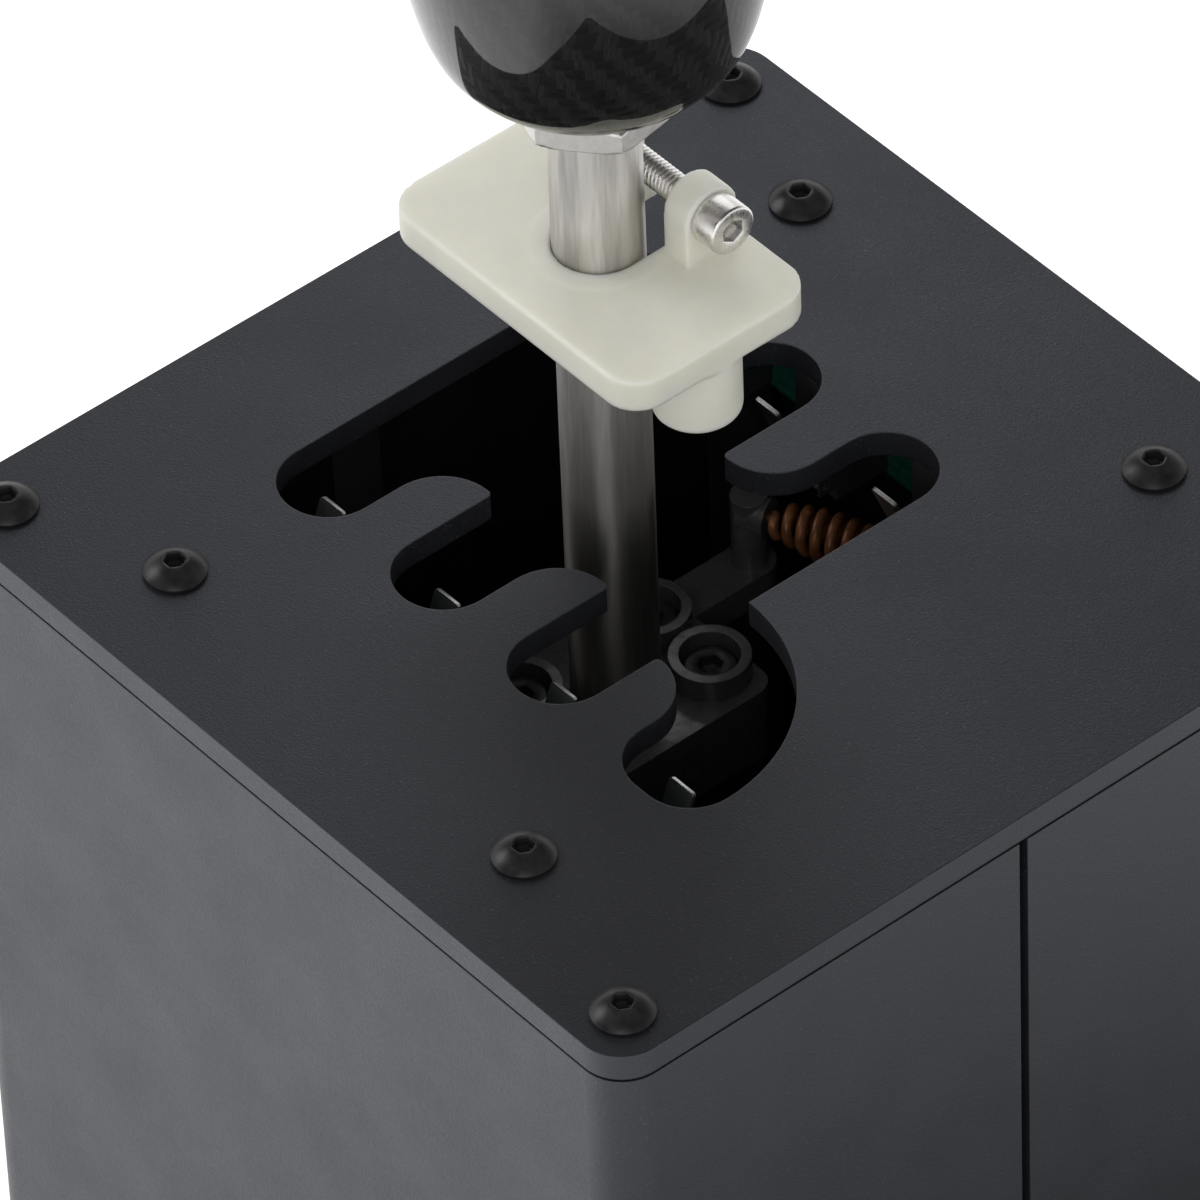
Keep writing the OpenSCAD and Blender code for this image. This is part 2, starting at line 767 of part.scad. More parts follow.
// Pins of the yoke, pressed in it and running in the cradle
module yoke_pins() {
    color("#a4a7ab")
    at_pivot() for (s = [-1, 1]) rotate([0, 90 * s, 0]) {
        translate([0, 0, yoke_pin_in]) cylinder(d = yoke_pin_d, h = cradle_x + gap - yoke_pin_in + 0.5);
        translate([0, 0, cradle_x + gap]) difference() {
            cylinder(d = yoke_pin_head_d, h = yoke_pin_head_h);
            translate([0, 0, yoke_pin_head_h / 2]) hex(4, yoke_pin_head_h);
        }
    }
}

module yoke_screw() {
    color("#2b2b2e")
    at_pivot() translate([0, 0, -yoke_low + yoke_recess - seat]) mirror([0, 0, 1])
        cap_screw(yoke_screw_d, shaft_bottom - pivot_h + yoke_low - yoke_recess + tap_l - 1,
            yoke_screw_head_d, yoke_screw_head_h, 4);
}

// Lever

module shaft() {
    color("#c2c4c7")
    translate([col_b, 0, 0]) difference() {
        union() {
            translate([0, 0, shaft_bottom + seat])
                cylinder(d = shaft_d, h = shoulder_z - shaft_bottom - seat - 0.4);
            translate([0, 0, shoulder_z - 0.4]) cylinder(d1 = shaft_d, d2 = shaft_d - 0.8, h = 0.4);
            translate([0, 0, shoulder_z - 1]) cylinder(d = stud_d, h = stud_l + 1);
        }
        translate([0, 0, shaft_bottom - 1]) cylinder(d = yoke_screw_d + 2 * fit, h = tap_l + 2);
    }
}

// Hub that is clamped on the shaft, with four screw cups and two sprung arms
module hub() {
    color("#1b1c1f")
    difference() {
        union() {
            translate([col_b, 0, hub_z]) round_plate(hub_l, hub_w, hub_t, 3);
            translate([col_b, 0, hub_z]) for (x = [-1, 1], y = [-1, 1])
                translate([x * cup_x, y * cup_y, 0]) cylinder(d = cup_d, h = hub_t + cup_h);
            hub_arm(1);
            hub_arm(-1);
        }
        translate([col_b, 0, hub_z - 1]) cylinder(d = shaft_d + 2 * fit, h = hub_t + cup_h + 2);
        translate([col_b, 0, hub_z]) for (x = [-1, 1], y = [-1, 1]) translate([x * cup_x, y * cup_y, 0]) {
            translate([0, 0, cup_floor]) cylinder(d = cup_d - 2 * cup_wall, h = hub_t);
            translate([0, 0, -1]) cylinder(d = tap_d, h = hub_t + 2);
        }
    }
}

// Arm from one end of the hub to the moving end of a spring, with a post at its end.
// The far arm's post stands up, the near one's hangs down.
module hub_arm(s) {
    hx = col_b + s * hook[0];
    a = s > 0 ? far_from : near_from;
    b = s > 0 ? far_to : near_to;
    z = s > 0 ? far_hook_z : near_hook_z;
    arm_z = hub_z + hub_t - arm_t;
    top = s > 0 ? z + boss_d / 2 + gap : hub_z + hub_t - 1;
    foot = s > 0 ? arm_z + 1 : z - boss_d / 2 - gap;
    translate([hx - arm_w / 2, s > 0 ? hub_w / 2 - 1 : -hook[1], arm_z])
        cube([arm_w, hook[1] - hub_w / 2 + 1, arm_t]);
    translate([hx, s * hook[1], arm_z]) cylinder(d = arm_w, h = arm_t);
    translate([hx, s * hook[1], foot]) cylinder(d = hook_post_d, h = top - foot);
    spring_boss(a, b, z, 1);
}

module hub_screws() {
    color("#3b3c40")
    translate([col_b, 0, hub_z + cup_floor + seat]) for (x = [-1, 1], y = [-1, 1])
        translate([x * cup_x, y * cup_y, 0])
            cap_screw(screw_d, cup_floor - 0.6, hub_head_d, hub_head_h, hub_key);
}

module spring_far() {
    color("#8a4b2a") coil_spring(far_from, far_to, far_hook_z);
}

module spring_near() {
    color("#8a4b2a") coil_spring(near_from, near_to, near_hook_z);
}

module lock_nut() {
    color("#d0d2d4")
    translate([col_b, 0, shoulder_z + seat]) difference() {
        intersection() {
            hex(nut_af, nut_h);
            rotate_extrude() polygon([[0, 0], [nut_af / 2, 0], [nut_af / 2 + 1.1, 0.7],
                [nut_af / 2 + 1.1, nut_h - 0.7], [nut_af / 2, nut_h], [0, nut_h]]);
        }
        translate([0, 0, -1]) cylinder(d = stud_d + 2 * fit, h = nut_h + 2);
    }
}

module knob_ring() {
    color("#3a3c3f")
    translate([col_b, 0, knob_z - seat - ring_t]) difference() {
        cylinder(r = knob_r * ring_share, h = ring_t);
        translate([0, 0, -1]) cylinder(d = stud_d + 2 * fit, h = ring_t + 2);
    }
}

// Outline of the knob, radius and height as shares of the greatest ones
knob_shape = [[0.44, 0], [0.567, 0.016], [0.69, 0.053], [0.788, 0.116], [0.858, 0.21], [0.93, 0.325],
    [0.983, 0.456], [1, 0.58], [0.967, 0.7], [0.858, 0.815], [0.68, 0.903], [0.458, 0.961],
    [0.225, 0.992], [0, 1]];
// Smooth point between b and c on a run of four outline points
function blend(a, b, c, d, t) =
    0.5 * ((2 * b) + (c - a) * t + (2 * a - 5 * b + 4 * c - d) * t * t + (3 * b - a - 3 * c + d) * t * t * t);
function shape_at(i) = knob_shape[max(0, min(len(knob_shape) - 1, i))];
knob_curve = [for (i = [0:len(knob_shape) - 2], t = [0, 0.5])
    blend(shape_at(i - 1), shape_at(i), shape_at(i + 1), shape_at(i + 2), t)];

module knob() {
    color("#121316")
    translate([col_b, 0, knob_z]) difference() {
        rotate_extrude($fn = 96)
            polygon(concat([[0, 0]], [for (p = knob_curve) [p[0] * knob_r, p[1] * knob_h]], [[0, knob_h]]));
        translate([0, 0, -1]) cylinder(d = stud_d + 2 * fit, h = stud_l - nut_h);
    }
}

// Limiter

module limiter() {
    color("#d8dccb")
    translate([col_b, 0, lim_z]) difference() {
        union() {
            round_plate(lim_l, lim_d, lim_t, 5);
            cylinder(d = shaft_d + 2 * collar_t, h = lim_t + collar_h);
            for (s = [-1, 1]) ear(s);
            translate([peg_x, 0, 1 - peg_l]) cylinder(d = peg_d, h = peg_l);
            translate([peg_x, 0, -peg_l]) cylinder(d1 = peg_d - 2, d2 = peg_d, h = 1);
        }
        translate([0, 0, -1]) cylinder(d = shaft_d + 2 * run, h = lim_t + ear_h);
        translate([-shaft_d / 2 - run, 0, -1]) cube([shaft_d + 2 * run, lim_d, lim_t + ear_h]);
        translate([0, ear_y, ear_z - lim_z]) rotate([0, 90, 0])
            cylinder(d = hole_d, h = lim_l, center = true);
    }
}

// Clamp ear beside the shaft, round at the top about the screw
module ear(s) {
    translate([s > 0 ? ear_x0 : -ear_x0 - ear_t, ear_y, ear_z - lim_z]) {
        rotate([0, 90, 0]) cylinder(r = ear_r, h = ear_t);
        translate([0, -ear_r, lim_top - ear_z - 1]) cube([ear_t, 2 * ear_r, ear_z - lim_top + 1]);
    }
}

module limiter_screw() {
    color("#c9cbce")
    translate([col_b + ear_x0 + ear_t + seat, ear_y, ear_z]) rotate([0, 90, 0])
        cap_screw(screw_d, 2 * (ear_x0 + ear_t) + lim_nut_h + 1, cap_d, cap_h, 3);
}

module limiter_nut() {
    color("#c9cbce")
    translate([col_b - ear_x0 - ear_t - seat, ear_y, ear_z]) rotate([0, -90, 0]) difference() {
        hex(cap_d, lim_nut_h);
        translate([0, 0, -1]) cylinder(d = tap_d, h = lim_nut_h + 2);
    }
}

// Electronics

module controller_board() {
    color("#1f6b45")
    difference() {
        translate([pillar_x[0] - board_rim, pillar_y[0] - board_rim, base_t + pillar_h + seat])
            cube([pillar_x[1] - pillar_x[0] + 2 * board_rim, wall_y - 1 - pillar_y[0] + board_rim, board_t]);
        at_pillars() translate([0, 0, base_t]) cylinder(d = pillar_screw_d + 0.4, h = 2 * pillar_h);
    }
}

module board_pillars() {
    color("#c9cbce")
    at_pillars() difference() {
        translate([0, 0, base_t + seat]) hex(pillar_af, pillar_h - seat);
        translate([0, 0, base_t - 1]) cylinder(d = tap_d, h = 5.6);
        translate([0, 0, base_t + pillar_h - 3]) cylinder(d = pillar_screw_d + 2 * fit, h = 5);
    }
}

module pillar_screws() {
    color("#c9cbce")
    at_pillars() translate([0, 0, base_t + pillar_h + board_t + 2 * seat])
        cap_screw(pillar_screw_d, board_t + 2.4, small_head_d, small_head_h, 1.5);
}

// Socket for the cable, flush with the outside of the far side sheet
module usb_inlet() {
    color("#b5b7ba")
    translate([inlet_x, body_d / 2 - gap, inlet_z]) rotate([90, 0, 0]) {
        difference() {
            linear_extrude(inlet_l) round_rect(inlet_w, inlet_h, inlet_h / 2 - 0.05);
            translate([0, 0, -1]) linear_extrude(inlet_l)
                round_rect(inlet_w - 2 * inlet_wall, inlet_h - 2 * inlet_wall,
                    inlet_h / 2 - inlet_wall - 0.05);
        }
        translate([-inlet_w / 2 + 1.2, -0.35, 1]) cube([inlet_w - 2.4, 0.7, inlet_l - 1.5]);
    }
}

// The pieces

base_plate();
shell_near();
shell_far();
gate_plate();
corner_posts();
corner_screws();
board_screws_top();
base_screws();
board_brackets();
board_near();
board_far();
board_screws();
switches_near();
switches_far();
blade_gear1();
blade_gear2();
blade_gear3();
blade_gear4();
blade_gear5();
blade_gear6();
blade_reverse();
pivot_stands();
stand_screws();
tilt_pins();
cradle();
cradle_bushes();
yoke();
yoke_pins();
yoke_screw();
shaft();
hub();
hub_screws();
spring_far();
spring_near();
lock_nut();
knob_ring();
knob();
limiter();
limiter_screw();
limiter_nut();
controller_board();
board_pillars();
pillar_screws();
usb_inlet();
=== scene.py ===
"""Finishes and detailed pieces for a six-speed sim racing gear shifter.

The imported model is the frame. Its rigid nodes keep their shapes and get finishes here. The
knob, its ring and nut, the limiter, the screws, the springs and the strips of the switch
levers are made as fuller pieces, and thin strips close the housing's seams from inside.
Lengths are in metres, but for the properties and the constants that say millimetres.
"""

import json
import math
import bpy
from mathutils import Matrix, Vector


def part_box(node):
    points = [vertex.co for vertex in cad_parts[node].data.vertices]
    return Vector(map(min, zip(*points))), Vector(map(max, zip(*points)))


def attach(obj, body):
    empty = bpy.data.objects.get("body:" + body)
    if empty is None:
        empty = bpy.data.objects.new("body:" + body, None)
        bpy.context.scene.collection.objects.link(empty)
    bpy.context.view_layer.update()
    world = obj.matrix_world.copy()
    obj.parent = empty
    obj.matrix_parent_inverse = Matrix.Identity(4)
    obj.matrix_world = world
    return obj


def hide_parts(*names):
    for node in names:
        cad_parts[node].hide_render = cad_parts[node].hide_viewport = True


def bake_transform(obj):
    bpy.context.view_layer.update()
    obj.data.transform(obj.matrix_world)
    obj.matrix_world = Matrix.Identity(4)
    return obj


bl_info = {
    "name": "Sim Racing Gear Shifter",
    "version": (1, 0, 0),
    "blender": (4, 5, 0),
    "location": "View3D > Sidebar > Shifter",
    "description": "Dresses the packed gear shifter with finishes and detailed pieces",
    "category": "Object",
}

import bpy
import numpy as np
from bpy.props import FloatProperty, FloatVectorProperty, IntProperty, PointerProperty
from mathutils import Matrix, Vector

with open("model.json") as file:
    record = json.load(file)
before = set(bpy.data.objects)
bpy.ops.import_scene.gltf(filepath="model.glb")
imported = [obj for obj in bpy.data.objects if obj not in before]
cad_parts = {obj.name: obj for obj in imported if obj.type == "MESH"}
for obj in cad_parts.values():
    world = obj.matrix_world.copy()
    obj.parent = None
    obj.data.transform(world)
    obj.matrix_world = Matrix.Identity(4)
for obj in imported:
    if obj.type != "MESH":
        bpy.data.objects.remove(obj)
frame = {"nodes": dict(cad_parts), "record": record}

MM = 0.001
PLATE_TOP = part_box("gate_plate")[1].z
LEVER_X = sum(c.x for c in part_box("shaft")) / 2
# Faces round a turned piece, and the radius, pitch and depth of an M4 thread
SIDES = 48
M4, M4_PITCH, M4_DEPTH = 2.0 * MM, 0.7 * MM, 0.42 * MM


# Mesh making

def angles(sides=SIDES):
    """Equal steps once round, from zero."""
    return np.linspace(0, 2 * math.pi, sides, endpoint=False)


def neighbours(count, sides):
    """Row and place of every point of count rings, and the place that follows in its ring."""
    row, place = np.divmod(np.arange(count * sides), sides)
    return row, place, (place + 1) % sides


def skin(rings):
    """Faces over a stack of closed rings: a quad between neighbouring points of neighbouring
    rings, and a fan from each end ring to its own centre. Gives points, faces and, for every
    face corner, its share of the way round and of the way along."""
    count, sides = rings.shape[:2]
    i, j, k = neighbours(count - 1, sides)
    quads = np.stack([i * sides + j, i * sides + k, (i + 1) * sides + k, (i + 1) * sides + j], -1)
    round_share = np.stack([j, j + 1, j + 1, j], -1) / sides
    along_share = np.stack([i, i, i + 1, i + 1], -1) / (count - 1)
    faces = quads.tolist()
    corners = [np.stack([round_share.ravel(), along_share.ravel()], -1)]
    ring = np.arange(sides)
    turn = (ring + 1) % sides
    for end, row, pair in ((0, 0, (turn, ring)), (1, count - 1, (ring, turn))):
        hub = np.full(sides, count * sides + end)
        faces += np.stack([row * sides + pair[0], row * sides + pair[1], hub], -1).tolist()
        flat = np.stack([np.stack([*pair, ring], -1) / sides, np.full((sides, 3), float(end))], -1)
        corners.append(flat.reshape(-1, 2))
    points = np.concatenate([rings.reshape(-1, 3), rings[[0, -1]].mean(1)])
    return points, faces, np.concatenate(corners)


def loops(rings):
    """A skin over rings that close on themselves both ways, as round a hole."""
    count, sides = rings.shape[:2]
    i, j, k = neighbours(count, sides)
    n = (i + 1) % count
    faces = np.stack([i * sides + j, i * sides + k, n * sides + k, n * sides + j], -1)
    return rings.reshape(-1, 3), faces.tolist(), np.zeros((4 * len(faces), 2))


def slab(outline, low, high):
    """A flat piece: the outline at two levels, joined by a wall, with a face over each."""
    count = len(outline)
    points = np.concatenate([np.column_stack([outline, np.full(count, z)]) for z in (low, high)])
    j = np.arange(count)
    k = (j + 1) % count
    walls = np.stack([j, k, k + count, j + count], -1).tolist()
    faces = walls + [j[::-1].tolist(), (j + count).tolist()]
    return points, faces, np.zeros((6 * count, 2))


def volume_of(points, faces):
    """Six times the signed volume: the sum of a . (b x c) over each face's fan of triangles."""
    total = 0.0
    for size in {len(f) for f in faces}:
        corner = np.array([f for f in faces if len(f) == size])
        for step in range(1, size - 1):
            a, b, c = (points[corner[:, n]] for n in (0, step, step + 1))
            total += float(np.einsum("ij,ij->", a, np.cross(b, c)))
    return total


def new_object(name, data):
    """A new object in the scene."""
    made = bpy.data.objects.new(name, data)
    bpy.context.scene.collection.objects.link(made)
    return made


def piece_from(name, parts, finish, body, node=None, crease=38):
    """One object from several closed skins, faces outward, smooth but for edges sharper than crease degrees.
    It rides on body. It stands for the CAD node, which it hides."""
    points, faces, corners, start = [], [], [], 0
    for part_points, part_faces, part_corners in parts:
        if volume_of(part_points, part_faces) < 0:
            sizes = [len(f) for f in part_faces]
            ends = np.cumsum(sizes)
            part_corners = np.concatenate([part_corners[e - s:e][::-1] for s, e in zip(sizes, ends)])
            part_faces = [f[::-1] for f in part_faces]
        points.append(part_points)
        faces += [[v + start for v in f] for f in part_faces]
        corners.append(part_corners)
        start += len(part_points)
    mesh = bpy.data.meshes.new(name)
    mesh.from_pydata(np.concatenate(points).tolist(), [], faces)
    layer = mesh.uv_layers.new(name="wrap")
    layer.data.foreach_set("uv", np.concatenate(corners).astype(np.float32).ravel())
    mesh.polygons.foreach_set("use_smooth", np.ones(len(mesh.polygons), bool))
    mesh.set_sharp_from_angle(angle=math.radians(crease))
    mesh.materials.append(finish)
    mesh.validate()
    piece = new_object(name, mesh)
    if body:
        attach(piece, body)
    if node:
        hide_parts(node)
    return piece


def melted(piece, voxel, passes):
    """Joins a piece's overlapping skins into one and softens it: the shape is cut into cubes of
    voxel, skinned again, and each point is drawn to the mean of its neighbours passes times."""
    remesh = piece.modifiers.new("join", "REMESH")
    remesh.mode = "VOXEL"
    remesh.voxel_size = voxel
    soften = piece.modifiers.new("soften", "SMOOTH")
    soften.factor = 0.5
    soften.iterations = passes
    solid = bpy.data.meshes.new_from_object(piece.evaluated_get(bpy.context.evaluated_depsgraph_get()))
    piece.modifiers.clear()
    solid.polygons.foreach_set("use_smooth", np.ones(len(solid.polygons), bool))
    piece.data = solid


def turned(radius, height, sides=SIDES):
    """Rings about Z: the point at angle a of row i is radius(i, a) out and height(i) up.
    radius has a number for each row, or one for each row and angle."""
    angle = angles(sides)
    radius = np.broadcast_to(np.asarray(radius, float).reshape(len(height), -1), (len(height), sides))
    level = np.broadcast_to(np.asarray(height, float)[:, None], radius.shape)
    return np.stack([radius * np.cos(angle), radius * np.sin(angle), level], -1)


def placed(rings, origin, axis="Z"):
    """The rings moved to origin. With axis "X" their own Z is first turned to lie along X."""
    if axis == "X":
        rings = np.stack([rings[..., 2], rings[..., 1], -rings[..., 0]], -1)
    return rings + np.array(origin, float)


def moved(part, origin, axis="Z"):
    """A skin turned to axis and moved to origin."""
    points, faces, corners = part
    return placed(points, origin, axis), faces, corners


def box_mm(node):
    """Low and high corner of a node's box, in millimetres."""
    return (np.array(corner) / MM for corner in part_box(node))


def in_metres(parts, origin=(0, 0, 0)):
    """Skins in millimetres, moved to origin and brought to metres."""
    return [(placed(points, origin) * MM, faces, corners) for points, faces, corners in parts]


def hexagon(across, sides=SIDES):
    """Radius of a hexagon at each angle: half its width over the cosine of the angle to the
    middle of the nearest flat."""
    return across / 2 / np.cos(np.mod(angles(sides), math.pi / 3) - math.pi / 6)


def arc(centre, radius, start, end, steps):
    """Points along an arc, angles in degrees."""
    a = np.radians(np.linspace(start, end, steps))
    return np.column_stack([centre[0] + radius * np.cos(a), centre[1] + radius * np.sin(a)])


def socket_screw(length, outline, key, depth):
    """An M4 screw that stands on z = 0 with its thread down. Upward it is: the flat tip, the
    thread, the head's outline, a chamfered rim, the hexagonal socket and its coned floor. The
    thread's radius falls and rises once for each pitch, and moves up by one pitch a turn."""
    level = np.arange(-length + 0.4 * MM, -0.3 * MM, M4_PITCH / 8)
    wave = np.abs(2 * np.mod(level[:, None] / M4_PITCH - angles() / (2 * math.pi), 1) - 1)
    fade = np.clip(np.minimum(level - level[0], level[-1] - level) / M4_PITCH, 0, 1)[:, None]
    thread = M4 - M4_DEPTH * np.clip(wave * 1.25 - 0.15, 0, 1) * fade
    flat = np.ones((1, SIDES))
    six = hexagon(key) * flat
    out, up = outline
    rows = [flat * (M4 - 0.5 * MM), thread, flat * M4, out[:, None] * flat,
            six + 0.22 * MM, six + 0.07 * MM, six, six, six * 0.96]
    floor = up[-1] - depth
    levels = [[-length], level, [-0.02 * MM], up,
              up[-1] - np.array([0, 0.05, 0.2]) * MM, [floor, floor - 0.05 * MM]]
    points, faces, corners = skin(turned(np.concatenate(rows), np.concatenate(levels)))
    points[-1, 2] -= 0.25 * key
    return points, faces, corners


def button_outline(width, height):
    """Underside, low edge and dome of a button head. The dome is part of a ball that meets the
    edge, up to where the socket's rim cuts it."""
    rise = height - 0.5 * MM
    ball = (width * width / 4 + rise * rise) / (2 * rise)
    span = math.degrees(math.asin(width / 2 / ball))
    out, up = arc((0, height - ball), ball, 90 - span, 90 - span * 0.36, 12).T
    edge_out = [width / 2 - 0.35 * MM, width / 2 - 0.08 * MM, width / 2]
    return np.concatenate([edge_out, out]), np.concatenate([[0.0, 0.06 * MM, 0.2 * MM], up])


def cap_outline(width, height):
    """Underside, side and rounded top edge of a cap head."""
    edge = 0.35 * MM
    out, up = arc((width / 2 - edge, height - edge), edge, 0, 90, 6).T
    side_out = [width / 2 - 0.3 * MM, width / 2 - 0.05 * MM, width / 2, width / 2]
    side_up = [0.0, 0.05 * MM, 0.25 * MM, height - edge - 0.02 * MM]
    return np.concatenate([side_out, out]), np.concatenate([side_up, up])


def smooth_line(marks, steps):
    """Points on a line that passes evenly through the marks: between each two, a cubic whose
    slopes are half the difference of the marks on either side."""
    p = np.asarray(marks, float)
    ends = np.concatenate([p[:1], p, p[-1:]])
    t = np.linspace(0, 1, steps, endpoint=False)[None, :, None]
    a, b, c, d = (q[:, None, :] for q in (ends[:-3], ends[1:-2], ends[2:-1], ends[3:]))
    run = 0.5 * (2 * b + (c - a) * t + (2 * a - 5 * b + 4 * c - d) * t ** 2
                 + (3 * b - a - 3 * c + d) * t ** 3)
    return np.concatenate([run.reshape(-1, p.shape[1]), p[-1:]])


def tube(path, radius, facing):
    """Rings of a round wire along a path. Each ring lies across the path's direction, and
    starts on the side that facing points to."""
    along = np.gradient(path, axis=0)
    along /= np.linalg.norm(along, axis=1)[:, None]
    side = facing - np.einsum("ij,ij->i", facing, along)[:, None] * along
    side /= np.linalg.norm(side, axis=1)[:, None]
    other = np.cross(along, side)
    angle = angles(16)[None, :, None]
    return path[:, None] + radius * (np.cos(angle) * side[:, None] + np.sin(angle) * other[:, None])


def box_part(low, high, edge):
    """A block between two corners, its upright and level edges cut back by edge."""
    low, high = np.array(low, float), np.array(high, float)
    centre, half = (low + high) / 2, (high - low) / 2
    corner = np.array([[1, -1], [1, 1], [-1, 1], [-1, -1]], float)
    ring = np.stack([corner * (half[:2] - [edge, 0]), corner * (half[:2] - [0, edge])], 1)
    ring[1::2] = ring[1::2, ::-1]
    ring = ring.reshape(-1, 2)
    inner = corner.repeat(2, 0) * (half[:2] - edge)
    rows = [(inner, -half[2]), (ring, -half[2] + edge), (ring, half[2] - edge), (inner, half[2])]
    rings = np.stack([np.column_stack([xy, np.full(8, z)]) for xy, z in rows]) + centre
    return skin(rings)


# Material making

def new_finish(name):
    """A fresh material, its node tree and its shader."""
    finish = bpy.data.materials.new(name)
    finish.use_nodes = True
    return finish, finish.node_tree, finish.node_tree.nodes["Principled BSDF"]


def fill(tree, node, inputs):
    """Sets each of a node's inputs to a value, or feeds it by a socket."""
    for key, value in inputs.items():
        if isinstance(value, bpy.types.NodeSocket):
            tree.links.new(value, node.inputs[key])
        else:
            node.inputs[key].default_value = value
    return node


def add(tree, kind, inputs=None, **settings):
    """A new shader node with its settings and inputs."""
    made = tree.nodes.new("ShaderNode" + kind)
    for key, value in settings.items():
        setattr(made, key, value)
    return fill(tree, made, inputs or {})


def here(tree, stretch=(1, 1, 1), turn=(0, 0, 0)):
    """The object's own coordinates, stretched and turned."""
    place = add(tree, "TexCoord").outputs["Object"]
    return add(tree, "Mapping", {"Vector": place, "Scale": stretch, "Rotation": turn}).outputs[0]


def noise(tree, size, detail=2.0, stretch=(1, 1, 1), rough=0.5, where=None):
    """Noise whose patches are about size across."""
    return add(tree, "TexNoise", {"Vector": where or here(tree, stretch), "Scale": 1 / size,
                                  "Detail": detail, "Roughness": rough}).outputs["Fac"]


def ramp(tree, fac, stops):
    """Colours along a value. Each stop is a place and a colour."""
    made = add(tree, "ValToRGB", {"Fac": fac})
    for element, (place, tone) in zip(made.color_ramp.elements, stops):
        element.position = place
        element.color = (*tone, 1)
    for place, tone in stops[2:]:
        made.color_ramp.elements.new(place).color = (*tone, 1)
    return made.outputs["Color"]


def spread(tree, fac, low, high, start=0.3, end=0.7):
    """A value from low to high as fac goes from start to end."""
    return add(tree, "MapRange", {"Value": fac, "From Min": start, "From Max": end,
                                  "To Min": low, "To Max": high}).outputs["Result"]


def mixed(tree, fac, low, high):
    """A value from low to high as fac goes from 0 to 1."""
    return add(tree, "Mix", {0: fac, 2: low, 3: high}).outputs[0]


def tinted(tree, fac, low, high):
    """A colour from low to high as fac goes from 0 to 1. Each is a colour or a socket."""
    low, high = (c if isinstance(c, bpy.types.NodeSocket) else (*c, 1) for c in (low, high))
    return add(tree, "Mix", {"Factor": fac, 6: low, 7: high}, data_type="RGBA").outputs[2]


def maths(tree, operation, a, b=0.0):
    """The outcome of an operation on one or two values."""
    return add(tree, "Math", {0: a, 1: b}, operation=operation).outputs[0]


def dot(tree, a, b):
    """The dot product of two vectors."""
    return add(tree, "VectorMath", {0: a, 1: b}, operation="DOT_PRODUCT").outputs["Value"]


def relief(tree, height, distance, strength=1.0, normal=None):
    """A surface that rises and falls by distance with height."""
    inputs = {"Height": height, "Distance": distance, "Strength": strength}
    if normal is not None:
        inputs["Normal"] = normal
    return add(tree, "Bump", inputs).outputs["Normal"]


def soft_edge(tree, radius):
    """A normal that rounds sharp edges by radius."""
    return add(tree, "Bevel", {"Radius": radius}, samples=6).outputs["Normal"]


def rays(tree):
    """One for a mirrored ray, and one for a ray from the eye or through glass."""
    path = add(tree, "LightPath").outputs
    return path["Is Glossy Ray"], maths(tree, "MAXIMUM", path["Is Camera Ray"], path["Is Transmission Ray"])


def dimmed(tone, share):
    """A colour with each of its parts times share."""
    return tuple(c * share for c in tone)


def coat_finish(name, s):
    """Fine-grained matt black coat: small grains in the surface, a few paler specks, soft smudges in tone and
    gloss, and edges rounded by the coat's thickness. The edges are painted paler, partly as wear and partly
    as a painted highlight."""
    finish, tree, shader = new_finish(name)
    fine = noise(tree, s.grain * MM, detail=2.5, rough=0.6)
    coarse = noise(tree, 14 * MM, detail=4, rough=0.6)
    specks = noise(tree, 0.4 * MM, detail=0)
    colour = tinted(tree, spread(tree, coarse, 0, 1), s.coat_dark, s.coat_light)
    speck = tinted(tree, spread(tree, specks, 0, 0.5, 0.74, 0.8), colour, (0.07, 0.072, 0.076))
    flat = add(tree, "NewGeometry").outputs["True Normal"]
    # Paler edges: partly wear, partly a painted highlight along every edge
    bent = spread(tree, dot(tree, soft_edge(tree, s.edge_wear_and_highlight_reach * MM), flat), 0.8, 0, 0.72, 0.97)
    wear_and_highlight = maths(tree, "MULTIPLY", bent, spread(tree, coarse, 0.3, 1))
    smudge = spread(tree, coarse, s.gloss - 0.03, s.gloss + 0.05)
    fill(tree, shader, {
        "Base Color": tinted(tree, wear_and_highlight, speck, (0.06, 0.061, 0.064)),
        "Roughness": maths(tree, "ADD", spread(tree, fine, -0.05, 0.05), smudge),
        "Specular IOR Level": s.specular,
        "Specular Tint": (*s.sheen_tint, 1),
        "Normal": relief(tree, fine, s.grain_depth * MM, 1.0, soft_edge(tree, s.edge * MM))})
    return finish


def oxide_finish(name):
    """Black oxide on steel: dark, half glossy, brown-grey where it is thin."""
    finish, tree, shader = new_finish(name)
    patch = noise(tree, 2.2 * MM, detail=4, rough=0.6)
    fine = noise(tree, 0.25 * MM, detail=2)
    fill(tree, shader, {
        "Base Color": ramp(tree, patch, [(0.35, (0.016, 0.016, 0.018)), (0.7, (0.034, 0.033, 0.034))]),
        "Metallic": 0.35,
        "Roughness": spread(tree, patch, 0.26, 0.4),
        "Normal": relief(tree, fine, 0.006 * MM, 1.0, soft_edge(tree, 0.12 * MM))})
    return finish


def steel_finish(name, tone=(0.63, 0.63, 0.62), gloss=0.3, lines=(1, 1, 14), line_size=1.4 * MM,
                 edge=0.15 * MM):
    """Bare machined metal: fine lines along one way, and patches that are a little duller."""
    finish, tree, shader = new_finish(name)
    scratch = noise(tree, line_size, detail=4, stretch=lines, rough=0.7)
    patch = spread(tree, noise(tree, 5 * MM, detail=3), gloss - 0.03, gloss + 0.05)
    fill(tree, shader, {
        "Base Color": ramp(tree, scratch, [(0.3, dimmed(tone, 0.84)), (0.7, tone)]),
        "Metallic": 1.0,
        "Roughness": maths(tree, "ADD", spread(tree, scratch, -0.04, 0.05), patch),
        "Normal": relief(tree, scratch, 0.004 * MM, 1.0, soft_edge(tree, edge))})
    return finish


